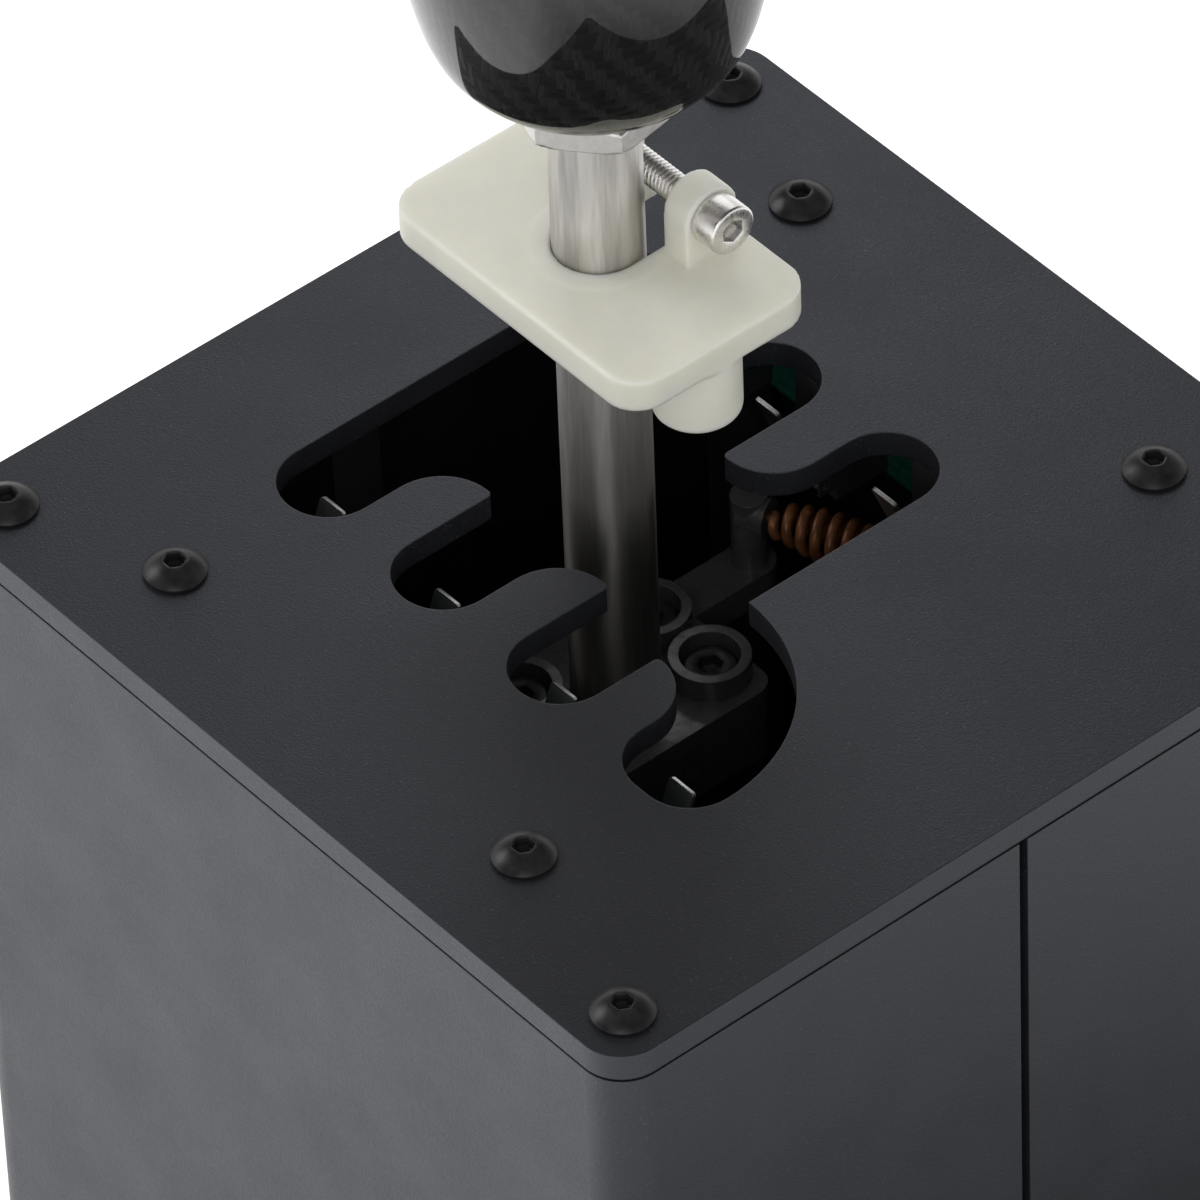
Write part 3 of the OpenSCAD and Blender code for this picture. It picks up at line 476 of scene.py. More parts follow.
def drawn_finish(name):
    """Drawn steel bar: faint bands and fine lines along its length, and a gloss that is wide
    along it and sharp round it."""
    finish, tree, shader = new_finish(name)
    tone = (0.65, 0.63, 0.6)
    bands = noise(tree, 2.4 * MM, detail=1, stretch=(1, 1, 0.03))
    fine = noise(tree, 0.45 * MM, detail=1, stretch=(1, 1, 0.06))
    both = maths(tree, "ADD", maths(tree, "MULTIPLY", bands, 0.65), maths(tree, "MULTIPLY", fine, 0.35))
    fill(tree, shader, {
        "Base Color": ramp(tree, both, [(0.4, dimmed(tone, 0.72)), (0.62, tone)]),
        "Metallic": 1.0,
        "Roughness": spread(tree, bands, 0.36, 0.3),
        "Anisotropic": 0.92,
        "Anisotropic Rotation": 0.25,
        "Tangent": add(tree, "Tangent", direction_type="RADIAL", axis="Z").outputs[0]})
    return finish


def plastic_finish(name, tone, gloss, depth=0.01 * MM, edge=0.15 * MM, grease=0.0):
    """Moulded plastic with a fine spark-eroded grain. Grease fills part of it and shines."""
    finish, tree, shader = new_finish(name)
    fine = noise(tree, 0.2 * MM, detail=2)
    patch = noise(tree, 4 * MM, detail=4, rough=0.6)
    light = tuple(c * 1.5 + 0.004 for c in tone)
    fill(tree, shader, {
        "Base Color": ramp(tree, patch, [(0.3, tone), (0.75, light)]),
        "Roughness": spread(tree, patch, gloss + 0.08, max(gloss - grease, 0.12)),
        "Normal": relief(tree, fine, depth, 1.0, soft_edge(tree, edge))})
    if grease:
        film = relief(tree, noise(tree, 1.6 * MM, detail=3), 0.12 * MM, 0.6)
        fill(tree, shader, {"Coat Normal": film, "Coat Weight": 0.6, "Coat Roughness": 0.18})
    return finish


def board_finish(name):
    """Green solder mask over copper tracks, which show as slightly paler lines."""
    finish, tree, shader = new_finish(name)
    tracks = add(tree, "TexBrick", {
        "Vector": here(tree, turn=(math.radians(90), 0, 0)), "Color1": (0.008, 0.07, 0.05, 1),
        "Color2": (0.009, 0.076, 0.054, 1), "Mortar": (0.014, 0.1, 0.07, 1), "Scale": 1.0,
        "Mortar Size": 0.22 * MM, "Mortar Smooth": 0.2, "Brick Width": 5.2 * MM, "Row Height": 2.1 * MM})
    fill(tree, shader, {
        "Base Color": tracks.outputs["Color"],
        "Roughness": spread(tree, noise(tree, 1.5 * MM, detail=3), 0.22, 0.36),
        "Normal": relief(tree, tracks.outputs["Fac"], 0.03 * MM, 0.6)})
    return finish


def spring_finish(name, s):
    """Varnished spring wire: brown, darker and paler in patches as the varnish is thick or thin."""
    finish, tree, shader = new_finish(name)
    patch = noise(tree, 1.4 * MM, detail=4, rough=0.65)
    tones = [(0.28, dimmed(s.wire_colour, 0.45)), (0.6, s.wire_colour), (0.85, (0.62, 0.3, 0.13))]
    fill(tree, shader, {
        "Base Color": ramp(tree, patch, tones),
        "Metallic": 0.35,
        "Roughness": spread(tree, patch, 0.28, 0.42),
        "Normal": relief(tree, noise(tree, 0.3 * MM, detail=2), 0.01 * MM)})
    return finish


def nylon_finish(name, s):
    """Milky nylon: light goes in and scatters, the surface is smooth with faint moulding waves."""
    finish, tree, shader = new_finish(name)
    cloud = noise(tree, 9 * MM, detail=4, rough=0.6)
    fine = noise(tree, 0.35 * MM, detail=2)
    wave = noise(tree, 6 * MM, detail=2)
    rounded = relief(tree, fine, 0.008 * MM, 1.0, soft_edge(tree, 0.45 * MM))
    fill(tree, shader, {
        "Base Color": ramp(tree, cloud, [(0.3, dimmed(s.nylon_colour, 0.94)), (0.7, s.nylon_colour)]),
        "Subsurface Weight": 0.7,
        "Subsurface Radius": (1.0, 1.0, 0.75),
        "Subsurface Scale": s.scatter * MM,
        "IOR": 1.52,
        "Roughness": spread(tree, cloud, 0.34, 0.46),
        "Normal": relief(tree, wave, 0.1 * MM, 0.5, rounded)})
    return finish


def carbon_finish(name, s):
    """Twill of carbon tows under clear coat, on the knob's own wrap. A tow that passes over
    shows where column plus row, counted round by four, is less than two. Upright tows shine
    differently from level ones, each tow has fibre lines, and the coat lies smooth on top."""
    finish, tree, shader = new_finish(name)
    wrap = add(tree, "SeparateXYZ", {0: add(tree, "UVMap", uv_map="wrap").outputs[0]})
    wobble = spread(tree, noise(tree, 9 * MM, detail=2), -0.5, 0.5)
    across, along = (maths(tree, "ADD", maths(tree, "MULTIPLY", wrap.outputs[n], float(tows)), wobble)
                     for n, tows in enumerate((s.tows_round, s.tows_high)))
    counted = maths(tree, "ADD", maths(tree, "FLOOR", across), maths(tree, "FLOOR", along))
    over = maths(tree, "LESS_THAN", maths(tree, "FLOORED_MODULO", counted, 4.0), 2.0)
    width = mixed(tree, over, maths(tree, "FRACT", along), maths(tree, "FRACT", across))
    crown = maths(tree, "SINE", maths(tree, "MULTIPLY", width, math.pi))
    lines_up = add(tree, "CombineXYZ", {0: maths(tree, "MULTIPLY", across, 9.0), 1: along})
    lines_level = add(tree, "CombineXYZ", {0: across, 1: maths(tree, "MULTIPLY", along, 9.0)})
    fibre = mixed(tree, over, *(noise(tree, 1.0, detail=3, where=lines.outputs[0])
                                for lines in (lines_level, lines_up)))
    tone_level = ramp(tree, fibre, [(0.3, (0.002, 0.002, 0.0022)), (0.75, (0.005, 0.005, 0.0055))])
    tone_up = ramp(tree, fibre, [(0.35, (0.003, 0.003, 0.0033)), (0.8, (0.024, 0.024, 0.0245))])
    fill(tree, shader, {
        "Base Color": tinted(tree, over, tone_level, tone_up),
        "Specular IOR Level": 0.12,
        "Roughness": spread(tree, fibre, 0.4, 0.6),
        "Normal": relief(tree, crown, 0.1 * MM, 0.5),
        "Coat Weight": 1.0,
        "Coat Roughness": 0.03,
        "Coat IOR": 1.5})
    return finish


# How each finish that several operators use is made
COMMON = {
    "black_anodised": lambda name: plastic_finish(name, (0.03, 0.03, 0.032), 0.36, depth=0.006 * MM),
    "machined_aluminium": lambda name: steel_finish(name, (0.6, 0.61, 0.62), 0.36),
    "black_oxide": oxide_finish,
    "plain_steel": steel_finish,
}


def common(name):
    """The common finish of that name, made once."""
    return bpy.data.materials.get(name) or COMMON[name](name)


def dress(finish, *nodes):
    """Gives CAD nodes a finish."""
    for name in nodes:
        piece = frame["nodes"][name]
        for place in piece.material_slots:
            place.material = finish


def centres(node, inset):
    """The four places inset from the corners of a node's box, as seen from above."""
    low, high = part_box(node)
    return [(x, y) for x in (low.x + inset, high.x - inset) for y in (low.y + inset, high.y - inset)]


# Settings

class ShifterStage(bpy.types.PropertyGroup):
    """Floor, lights and the camera of the picture."""

    floor_size: FloatProperty(
        name="Floor size", description="Side of the square floor", default=6.0, unit="LENGTH")
    floor_tone: FloatVectorProperty(
        name="Floor colour", description="Colour of the floor", default=(0.82, 0.82, 0.82), subtype="COLOR")
    ambient: FloatProperty(name="Ambient", description="Level of the even light from all round", default=0.6)
    key_power: FloatProperty(
        name="Key light", description="Power of the large light on the left", default=11.0, unit="POWER")
    front_power: FloatProperty(
        name="Front light", description="Power of the large light in front", default=9.5, unit="POWER")
    back_power: FloatProperty(
        name="Back light", description="Power of the small light behind the plate", default=0.26,
        unit="POWER")
    overhead: FloatProperty(
        name="Overhead", description="Level of what is high up, in reflections", default=0.06)
    floor_mirrored: FloatProperty(
        name="Floor in mirrors", description="Glow of the floor in reflections", default=0.6)
    floor_shade: FloatProperty(
        name="Floor shade", description="Depth of the object's shade on the floor in reflections",
        default=0.75)
    floor_seen: FloatProperty(name="Floor glow", description="Glow of the floor to the eye", default=0.6)
    azimuth: FloatProperty(
        name="Azimuth", description="Direction of the camera round the object", default=0.896749563,
        subtype="ANGLE")
    elevation: FloatProperty(
        name="Elevation", description="Height of the camera above level", default=0.760375074,
        subtype="ANGLE")
    roll: FloatProperty(
        name="Roll", description="Turn of the camera about its own axis", default=-0.0400957931,
        subtype="ANGLE")
    distance: FloatProperty(
        name="Distance", description="Distance from the gate plate to the camera", default=1.57625049,
        unit="LENGTH")
    offset: FloatVectorProperty(
        name="Offset", description="Sideways and upward place of the camera", size=2,
        default=(-0.00976039550, -0.00925310899), subtype="TRANSLATION")
    lens: FloatProperty(name="Lens", description="Focal length in mm on a 36 mm sensor", default=371.7137)
    shift: FloatVectorProperty(
        name="Shift", description="Shift of the picture's centre", size=2, default=(-0.0017051, 0.0026255))


class ShifterHousing(bpy.types.PropertyGroup):
    """The black coat of the housing."""

    coat_dark: FloatVectorProperty(
        name="Dark tone", description="Darker tone of the coat", default=(0.0085, 0.0089, 0.0108),
        subtype="COLOR")
    coat_light: FloatVectorProperty(
        name="Light tone", description="Lighter tone of the coat", default=(0.0125, 0.013, 0.0155),
        subtype="COLOR")
    grain: FloatProperty(name="Grain", description="Size of the coat's grains in mm", default=0.3)
    grain_depth: FloatProperty(name="Grain depth", description="Depth of the grains in mm", default=0.06)
    gloss: FloatProperty(name="Roughness", description="Roughness of the coat", default=0.44)
    specular: FloatProperty(name="Specular", description="Strength of the coat's reflection", default=0.8)
    sheen_tint: FloatVectorProperty(
        name="Reflection tint", description="Tint of the coat's reflection", default=(0.85, 0.88, 1.0),
        subtype="COLOR")
    edge: FloatProperty(name="Edge", description="Rounding of the sheet edges in mm", default=0.3)
    # Reach from an edge of the paler band, partly wear and partly a painted highlight, in mm
    edge_wear_and_highlight_reach: FloatProperty(
        name="Worn edge", description="Reach of the wear from an edge in mm", default=0.12)


class ShifterKnob(bpy.types.PropertyGroup):
    """The woven knob."""

    tows_round: IntProperty(
        name="Tows round", description="Tows that stand side by side round the knob", default=116)
    tows_high: IntProperty(name="Tows high", description="Tows that lie above each other", default=52)
    sides: IntProperty(name="Sides", description="Faces round the knob", default=128)


class ShifterSprings(bpy.types.PropertyGroup):
    """The two centring springs."""

    wire_colour: FloatVectorProperty(
        name="Wire colour", description="Colour of the varnished wire", default=(0.26, 0.1, 0.04),
        subtype="COLOR")
    per_curl: IntProperty(name="Steps a curl", description="Rings of the wire in one curl", default=28)


class ShifterLimiter(bpy.types.PropertyGroup):
    """The nylon limiter."""

    nylon_colour: FloatVectorProperty(
        name="Nylon colour", description="Colour of the nylon", default=(0.84, 0.83, 0.735),
        subtype="COLOR")
    scatter: FloatProperty(name="Scatter", description="How far light spreads inside, in mm", default=3.0)


SETTINGS = {
    "shifter_stage": ShifterStage,
    "shifter_housing": ShifterHousing,
    "shifter_knob": ShifterKnob,
    "shifter_springs": ShifterSprings,
    "shifter_limiter": ShifterLimiter,
}


# Operators

class SHIFTER_OT_stage(bpy.types.Operator):
    """Makes the floor, the soft lights, the white surroundings and the camera"""

    bl_idname = "shifter.stage"
    bl_label = "Stage"

    # Each light's place and side
    LIGHTS = {"key": ((-1.7, -0.9, 1.4), 1.0), "front": ((1.35, -1.35, 1.15), 1.2),
              "back": ((-0.33, 0.26, 0.42), 0.26)}
    # Way from the object to the side of the floor that the key light reaches
    LIT_WAY = (-0.77, -0.63, 0)

    def execute(self, context):
        s = context.scene.shifter_stage
        self.paper(s)
        self.surroundings(context, s)
        for name, (place, size) in self.LIGHTS.items():
            self.lamp(name + "_light", place, size, getattr(s, name + "_power"))
        self.camera(context, s)
        context.scene.view_settings.view_transform = "Standard"
        return {"FINISHED"}

    def paper(self, s):
        """The floor. It glows a little to the eye. In reflections it glows on the lit side and
        far from the object, and is dark in the object's shade."""
        half = s.floor_size / 2
        mesh = bpy.data.meshes.new("floor")
        corners = [(x * half, y * half, -0.2 * MM) for x, y in ((-1, -1), (1, -1), (1, 1), (-1, 1))]
        mesh.from_pydata(corners, [], [(0, 1, 2, 3)])
        floor = new_object("floor", mesh)
        finish, tree, shader = new_finish("floor_paper")
        place = here(tree)
        away = add(tree, "VectorMath", {0: place}, operation="LENGTH").outputs["Value"]
        near_side = spread(tree, dot(tree, place, self.LIT_WAY), 0.0, s.floor_mirrored, 0.0, 0.1)
        far_off = spread(tree, away, 0.0, s.floor_mirrored, 0.13, 0.28)
        bright = maths(tree, "MAXIMUM", near_side, far_off)
        glossy, direct = rays(tree)
        mirrored = maths(tree, "MULTIPLY", glossy, bright)
        dark = spread(tree, bright, s.floor_shade, 0.0, 0.0, s.floor_mirrored)
        seen = maths(tree, "MULTIPLY", direct, spread(tree, away, s.floor_seen, 0.85, 0.12, 0.6))
        tones = [(0.3, dimmed(s.floor_tone, 0.985)), (0.7, s.floor_tone)]
        colour = ramp(tree, noise(tree, 0.4, detail=2), tones)
        fill(tree, shader, {
            "Base Color": tinted(tree, maths(tree, "MULTIPLY", glossy, dark), colour, (0, 0, 0)),
            "Roughness": 0.9,
            "Specular IOR Level": 0.1})
        glow = add(tree, "Emission", {"Strength": maths(tree, "MAXIMUM", mirrored, seen)})
        both = add(tree, "AddShader", {0: shader.outputs[0], 1: glow.outputs[0]})
        tree.links.new(both.outputs[0], tree.nodes["Material Output"].inputs["Surface"])
        mesh.materials.append(finish)

    def surroundings(self, context, s):
        """An even world: white to the eye and s.ambient bright as light. In reflections it is white
        near the horizon and falls to s.overhead high up, as in a room with a dark ceiling."""
        world = bpy.data.worlds.new("studio")
        context.scene.world = world
        world.use_nodes = True
        tree = world.node_tree
        rise = add(tree, "SeparateXYZ", {0: add(tree, "TexCoord").outputs["Generated"]})
        glossy, direct = rays(tree)
        level = mixed(tree, glossy, s.ambient, spread(tree, rise.outputs["Z"], 1.0, s.overhead, 0.12, 0.42))
        strength = maths(tree, "MAXIMUM", level, direct)
        fill(tree, tree.nodes["Background"], {"Color": (1, 1, 1, 1), "Strength": strength})

    @staticmethod
    def lamp(name, place, size, power):
        """A large square light that faces the object."""
        light = bpy.data.lights.new(name, "AREA")
        light.shape = "SQUARE"
        light.size = size
        light.energy = power
        lamp = new_object(name, light)
        lamp.location = place
        lamp.rotation_euler = (Vector((0, 0, 0.1)) - Vector(place)).to_track_quat("-Z", "Y").to_euler()

    @staticmethod
    def camera(context, s):
        """Camera axes from azimuth and elevation, turned by the roll, and set back by the
        distance from the middle of the gate plate's top."""
        a, e = s.azimuth, s.elevation
        back = Vector((math.sin(a) * math.cos(e), -math.cos(a) * math.cos(e), math.sin(e)))
        level = Vector((0, 0, 1)).cross(back).normalized()
        rise = back.cross(level)
        right = level * math.cos(s.roll) + rise * math.sin(s.roll)
        up = rise * math.cos(s.roll) - level * math.sin(s.roll)
        place = right * s.offset[0] + up * s.offset[1] + back * s.distance + Vector((0, 0, PLATE_TOP))
        data = bpy.data.cameras.new("camera")
        data.sensor_width = 36
        data.lens = s.lens
        data.shift_x, data.shift_y = s.shift
        data.clip_start, data.clip_end = 0.05, 20
        camera = new_object("camera", data)
        camera.matrix_world = Matrix.Translation(place) @ Matrix((right, up, back)).transposed().to_4x4()
        context.scene.camera = camera


class SHIFTER_OT_housing(bpy.types.Operator):
    """Coats the sheets, the gate plate and the base, and closes the seams from inside"""

    bl_idname = "shifter.housing"
    bl_label = "Housing"

    # In mm: the seam's place, the strip's half width, thickness, lower end and cut edge, its
    # gap to the sheet's top, and the sheet's thickness with a small gap
    SEAM_Y, HALF, THICK, LOW, EDGE, TOP_GAP, WALL = -1.3, 4.0, 0.35, 8.0, 0.1, 1.5, 2.52

    def execute(self, context):
        coat = coat_finish("black_coat_finish", context.scene.shifter_housing)
        dress(coat, "shell_near", "shell_far", "gate_plate", "base_plate")
        dress(common("black_anodised"), "board_brackets")
        dress(common("machined_aluminium"), "corner_posts")
        self.seam_strips()
        return {"FINISHED"}

    def seam_strips(self):
        """A thin strip behind the seam of each flank, which keeps daylight out of the box."""
        _, high = box_mm("shell_far")
        inside = high[0] - self.WALL
        parts = []
        for side in (1, -1):
            left, right = sorted((side * inside, side * (inside - self.THICK)))
            parts.append(box_part((left, self.SEAM_Y - self.HALF, self.LOW),
                                  (right, self.SEAM_Y + self.HALF, high[2] - self.TOP_GAP), self.EDGE))
        piece_from("seam_strips", in_metres(parts), common("black_anodised"), "housing")


class SHIFTER_OT_screws(bpy.types.Operator):
    """Makes the housing's screws with real sockets and threads"""

    bl_idname = "shifter.screws"
    bl_label = "Housing screws"

    # Width of a head, width of its key, and how far the head stands off the plate
    HEAD, KEY, OFF = 8.4 * MM, 2.5 * MM, 0.02 * MM

    def execute(self, context):
        oxide = common("black_oxide")
        for node in ("corner_screws", "board_screws_top"):
            low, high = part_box(node)
            height = high.z - PLATE_TOP
            outline = button_outline(self.HEAD, height)
            one = socket_screw(PLATE_TOP - low.z, outline, self.KEY, height * 0.62)
            parts = [moved(one, (x, y, PLATE_TOP + self.OFF)) for x, y in centres(node, self.HEAD / 2)]
            piece_from(node + "_socket", parts, oxide, "housing", node)
        dress(oxide, "base_screws", "stand_screws")
        return {"FINISHED"}


class SHIFTER_OT_switches(bpy.types.Operator):
    """Finishes the switch boards and the snap switches, and makes their sprung levers"""

    bl_idname = "shifter.switches"
    bl_label = "Switches"

    # In mm: a strip's length, half width, thickness, rounded corners and lower edge, its pin's
    # radius, place in the CAD blade's box and reach past the strip
    LONG, HALF, THICK, CORNER, FOOT, PIN, INSET, REACH = 18.4, 2.3, 0.55, 0.5, 0.2, 0.36, 0.35, 0.6
    # Its lean inward, in degrees
    LEAN = 22.0

    def execute(self, context):
        dress(board_finish("solder_mask"), "board_near", "board_far", "controller_board")
        dress(plastic_finish("switch_plastic", (0.018, 0.018, 0.02), 0.4), "switches_near", "switches_far")
        blade = steel_finish("spring_steel", (0.86, 0.86, 0.85), 0.3, lines=(8, 1, 1), edge=0.1 * MM)
        for node in (n for n in frame["nodes"] if n.startswith("blade_")):
            self.lever_strip(node, blade)
        dress(common("plain_steel"), "board_screws", "pillar_screws", "board_pillars", "usb_inlet")
        return {"FINISHED"}

    def lever_strip(self, node, finish):
        """A sprung strip that leans inward from its pin, with its free corners rounded and its
        lower end curled round the pin."""
        low, high = box_mm(node)
        side, outer = (1, high) if low[1] > 0 else (-1, low)
        origin = ((low[0] + high[0]) / 2, outer[1] - side * self.INSET, low[2] + self.INSET)
        half, tall, edge = self.HALF, self.LONG, self.CORNER
        left = arc((edge - half, tall - edge), edge, 180, 90, 5)
        right = arc((half - edge, tall - edge), edge, 90, 0, 5)
        outline = np.concatenate([[[-half, self.FOOT]], left, right, [[half, self.FOOT]]])
        flat, faces, corners = slab(outline, -self.THICK / 2, self.THICK / 2)
        upright = np.column_stack([flat[:, 0], -flat[:, 2], flat[:, 1]])
        c, s = math.cos(math.radians(self.LEAN)), math.sin(math.radians(self.LEAN))
        tilt = np.array([[1, 0, 0], [0, c, -s], [0, s, c]])
        curl = turned([0.62, 0.7, 0.7, 0.62], [-half, 0.1 - half, half - 0.1, half], 24)
        pin = turned([self.PIN] * 2, [-half - self.REACH, half + self.REACH], 16)
        parts = [(upright @ tilt.T, faces, corners)]
        parts += [skin(placed(rings, (0, 0, 0), "X")) for rings in (curl, pin)]
        turn = np.diag([side, side, 1.0])
        parts = in_metres([(points @ turn, f, c) for points, f, c in parts], origin)
        body = next(name for name, nodes in frame["record"]["behaviour"]["bodies"].items() if node in nodes)
        piece_from(node.replace("blade", "strip"), parts, finish, body, node)


class SHIFTER_OT_pivot(bpy.types.Operator):
    """Finishes the stands, the cradle, the yoke and their pins"""

    bl_idname = "shifter.pivot"
    bl_label = "Pivot"

    def execute(self, context):
        dress(common("machined_aluminium"), "pivot_stands", "yoke")
        dress(common("plain_steel"), "tilt_pins", "yoke_pins")
        dress(common("black_anodised"), "cradle")
        dress(common("black_oxide"), "yoke_screw")
        dress(steel_finish("bearing_bronze_finish", (0.62, 0.42, 0.2), 0.34), "cradle_bushes")
        return {"FINISHED"}


class SHIFTER_OT_lever(bpy.types.Operator):
    """Finishes the shaft, and makes the lock nut and the ring under the knob"""

    bl_idname = "shifter.lever"
    bl_label = "Shaft and nut"

    # In mm: the flat nut's width, underside, top, bore and flat face, its chamfer's height, and
    # how far out from the flats the chamfer starts
    WIDTH, LOW, TOP, BORE, FACE, CHAMFER, START = 19.0, 1.5, 5.1, 4.1, 8.2, 0.6, 0.7
    # Its turn about the lever, in degrees
    TURN = -20.8
    # Radius and height in mm round the nut's foot, and round the ring
    FOOT = ((4.1, 0), (5.75, 0), (5.98, 0.2), (5.98, 1.5), (4.1, 1.5))
    RING = ((4.1, 0.5), (8.5, 0.5), (8.9, 0.6), (8.9, 1.0), (8.5, 1.12), (4.1, 1.12))

    def execute(self, context):
        dress(drawn_finish("drawn_steel"), "shaft")
        plate = steel_finish("bright_plate", (0.66, 0.64, 0.62), 0.36, lines=(1, 1, 1))
        self.on_lever("flat_nut", self.nut(), plate, "lock_nut")
        grey = steel_finish("grey_ring", (0.14, 0.142, 0.145), 0.34)
        self.on_lever("thin_ring", [turned(*zip(*self.RING), 64)], grey, "knob_ring")
        return {"FINISHED"}

    @staticmethod
    def on_lever(name, shapes, finish, node):
        """A piece of closed loops round the lever, in place of a CAD node and from its floor."""
        parts = [loops(placed(rings * MM, (LEVER_X, 0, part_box(node)[0].z))) for rings in shapes]
        piece_from(name, parts, finish, "lever", node)

    def nut(self):
        """A round foot as wide as the shaft, and on it the flat nut: a hexagon cut at both faces
        by a cone that rises by 1 for each 1.73 outward."""
        sides = 96
        rise = np.linspace(0, self.CHAMFER, 6)
        cone = self.WIDTH / 2 + self.START + rise[:, None] * math.sqrt(3)
        lower = np.minimum(hexagon(self.WIDTH, sides), cone)
        bore, face = (np.full((1, sides), r) for r in (self.BORE, self.FACE))
        radius = np.concatenate([bore, face, lower, lower[::-1], bore])
        height = np.concatenate([[self.LOW] * 2, self.LOW + rise, self.TOP - rise[::-1], [self.TOP]])
        c, s = math.cos(math.radians(self.TURN)), math.sin(math.radians(self.TURN))
        spin = np.array([[c, -s, 0], [s, c, 0], [0, 0, 1]])
        return turned(*zip(*self.FOOT), sides), turned(radius, height, sides) @ spin.T


class SHIFTER_OT_carrier(bpy.types.Operator):
    """Finishes the greased spring carrier and makes the screws in its cups"""

    bl_idname = "shifter.carrier"
    bl_label = "Spring carrier"

    # Width and height of a head, width of its key, and depth of its socket
    WIDTH, HEIGHT, KEY, DEPTH = 7.0 * MM, 3.2 * MM, 3 * MM, 1.7 * MM

    def execute(self, context):
        dress(plastic_finish("greased_black", (0.045, 0.042, 0.042), 0.3, edge=0.3 * MM, grease=0.16), "hub")
        low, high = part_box("hub_screws")
        seat = high.z - self.HEIGHT
        one = socket_screw(seat - low.z, cap_outline(self.WIDTH, self.HEIGHT), self.KEY, self.DEPTH)
        parts = [moved(one, (x, y, seat)) for x, y in centres("hub_screws", self.WIDTH / 2)]
        piece_from("cup_screws", parts, common("black_oxide"), "lever", "hub_screws")
        return {"FINISHED"}


class SHIFTER_OT_springs(bpy.types.Operator):
    """Winds the two centring springs, each in two halves"""

    bl_idname = "shifter.springs"
    bl_label = "Springs"

    # In mm, from the carrier's arm to the bracket, as the CAD model has them
    ENDS = {"spring_far": ((-21.0, 29.0, 110.5), (27.0, 50.3, 110.5)),
            "spring_near": ((-7.0, -29.0, 95.9), (-32.0, -50.3, 95.9))}
    # In mm: the boss at each end, the straight end, the length of the quick swell and of the
    # slow one, the coil's pitch and radius, the wire's radius and the sag in the middle
    BOSS, LEAD, EASE, TAPER, PITCH, COIL, WIRE, SAG = 2.8, 0.5, 1.3, 8.0, 2.15, 3.0, 0.72, 1.0
    # Share of the radius that the quick swell gives
    NARROW = 0.62

    def execute(self, context):
        s = context.scene.shifter_springs
        finish = spring_finish("spring_varnish", s)
        for node, ends in self.ENDS.items():
            moving, fixed = np.array(ends)
            reach = np.linalg.norm(fixed - moving)
            path, facing = self.wound(reach - 2 * self.BOSS, s.per_curl)
            along = (fixed - moving) / reach
            turn = np.stack([along, [-along[1], along[0], 0], [0, 0, 1]], 1)
            rings = tube(path @ turn.T + moving + along * self.BOSS, self.WIRE, facing @ turn.T) * MM
            half = len(rings) // 2
            middle = (moving + fixed) / 2 * MM
            for name, part, bodies, start, end in (
                    ("_moving_half", rings[:half + 1], ("lever", "cradle"), moving * MM, middle),
                    ("_fixed_half", rings[half:], ("cradle", "housing"), middle, fixed * MM)):
                piece = piece_from(node + name, [skin(part)], finish, None, node, crease=60)
                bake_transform(piece)
        return {"FINISHED"}

    def wound(self, length, per_curl):
        """Path of the wire along X: straight ends, and between them a coil that turns once for
        each pitch. Its radius swells quickly from nothing to the narrow part of the full radius,
        and then slowly to the full one. Its middle hangs lower by SAG."""
        curls = math.floor((length - 2 * self.LEAD) / self.PITCH)
        step = np.arange(1, curls * per_curl)
        s = self.LEAD + (length - 2 * self.LEAD) * step / (curls * per_curl)
        a = 2 * math.pi * step / per_curl
        from_end = np.minimum(s - self.LEAD, length - self.LEAD - s)
        quick, slow = (np.clip(from_end / reach, 0, 1) for reach in (self.EASE, self.TAPER))
        quick, slow = (t ** 2 * (3 - 2 * t) for t in (quick, slow))
        r = self.COIL * quick * (self.NARROW + (1 - self.NARROW) * slow)
        sag = self.SAG * np.sin(math.pi * s / length) ** 2
        coil = np.column_stack([s, r * np.cos(a), r * np.sin(a) - sag])
        first = [[0, 0, 0], [self.LEAD * 0.8, 0, 0]]
        last = [[length - self.LEAD * 0.8, 0, 0], [length, 0, 0]]
        turns = np.concatenate([[a[0]] * 2, a, [a[-1]] * 2])
        return np.concatenate([first, coil, last]), np.column_stack([0 * turns, np.cos(turns), np.sin(turns)])


class SHIFTER_OT_knob(bpy.types.Operator):
    """Turns the knob and lays the weave on it"""

    bl_idname = "shifter.knob"
    bl_label = "Knob"

    # Radius and height in mm, down the bore and up the outside
    BORE = ((4.02, 20), (4.02, 0.4), (4.4, 0))
    SHAPE = ((9.6, 0), (10.8, 0.6), (12.3, 1.6), (14.6, 3.2), (17.4, 5.5), (19.75, 8.5), (21.2, 12),
             (22.25, 16), (23.2, 20.5), (24.15, 26), (24.75, 31), (25.05, 36), (25.0, 40), (24.3, 44.5),
             (22.4, 48.6), (18.8, 52.2), (13.9, 54.8), (8.7, 56.3), (4.2, 56.9), (0.05, 57))

    def execute(self, context):
        s = context.scene.shifter_knob
        low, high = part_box("knob")
        line = smooth_line(self.SHAPE, 5) * MM
        line[:, 1] = np.clip(line[:, 1], 0, high.z - low.z)
        outline = np.concatenate([np.array(self.BORE) * MM, line])
        rings = placed(turned(*outline.T, s.sides), (LEVER_X, 0, low.z))
        points, faces, corners = skin(rings)
        run = np.concatenate([[0], np.cumsum(np.hypot(*np.diff(outline, axis=0).T))])
        row = corners[:, 1] * (len(outline) - 1)
        corners[:, 1] = np.interp(row, np.arange(len(outline)), run / run[-1])
        carbon = carbon_finish("woven_carbon", s)
        piece_from("woven_knob", [(points, faces, corners)], carbon, "lever", "knob", crease=50)
        return {"FINISHED"}


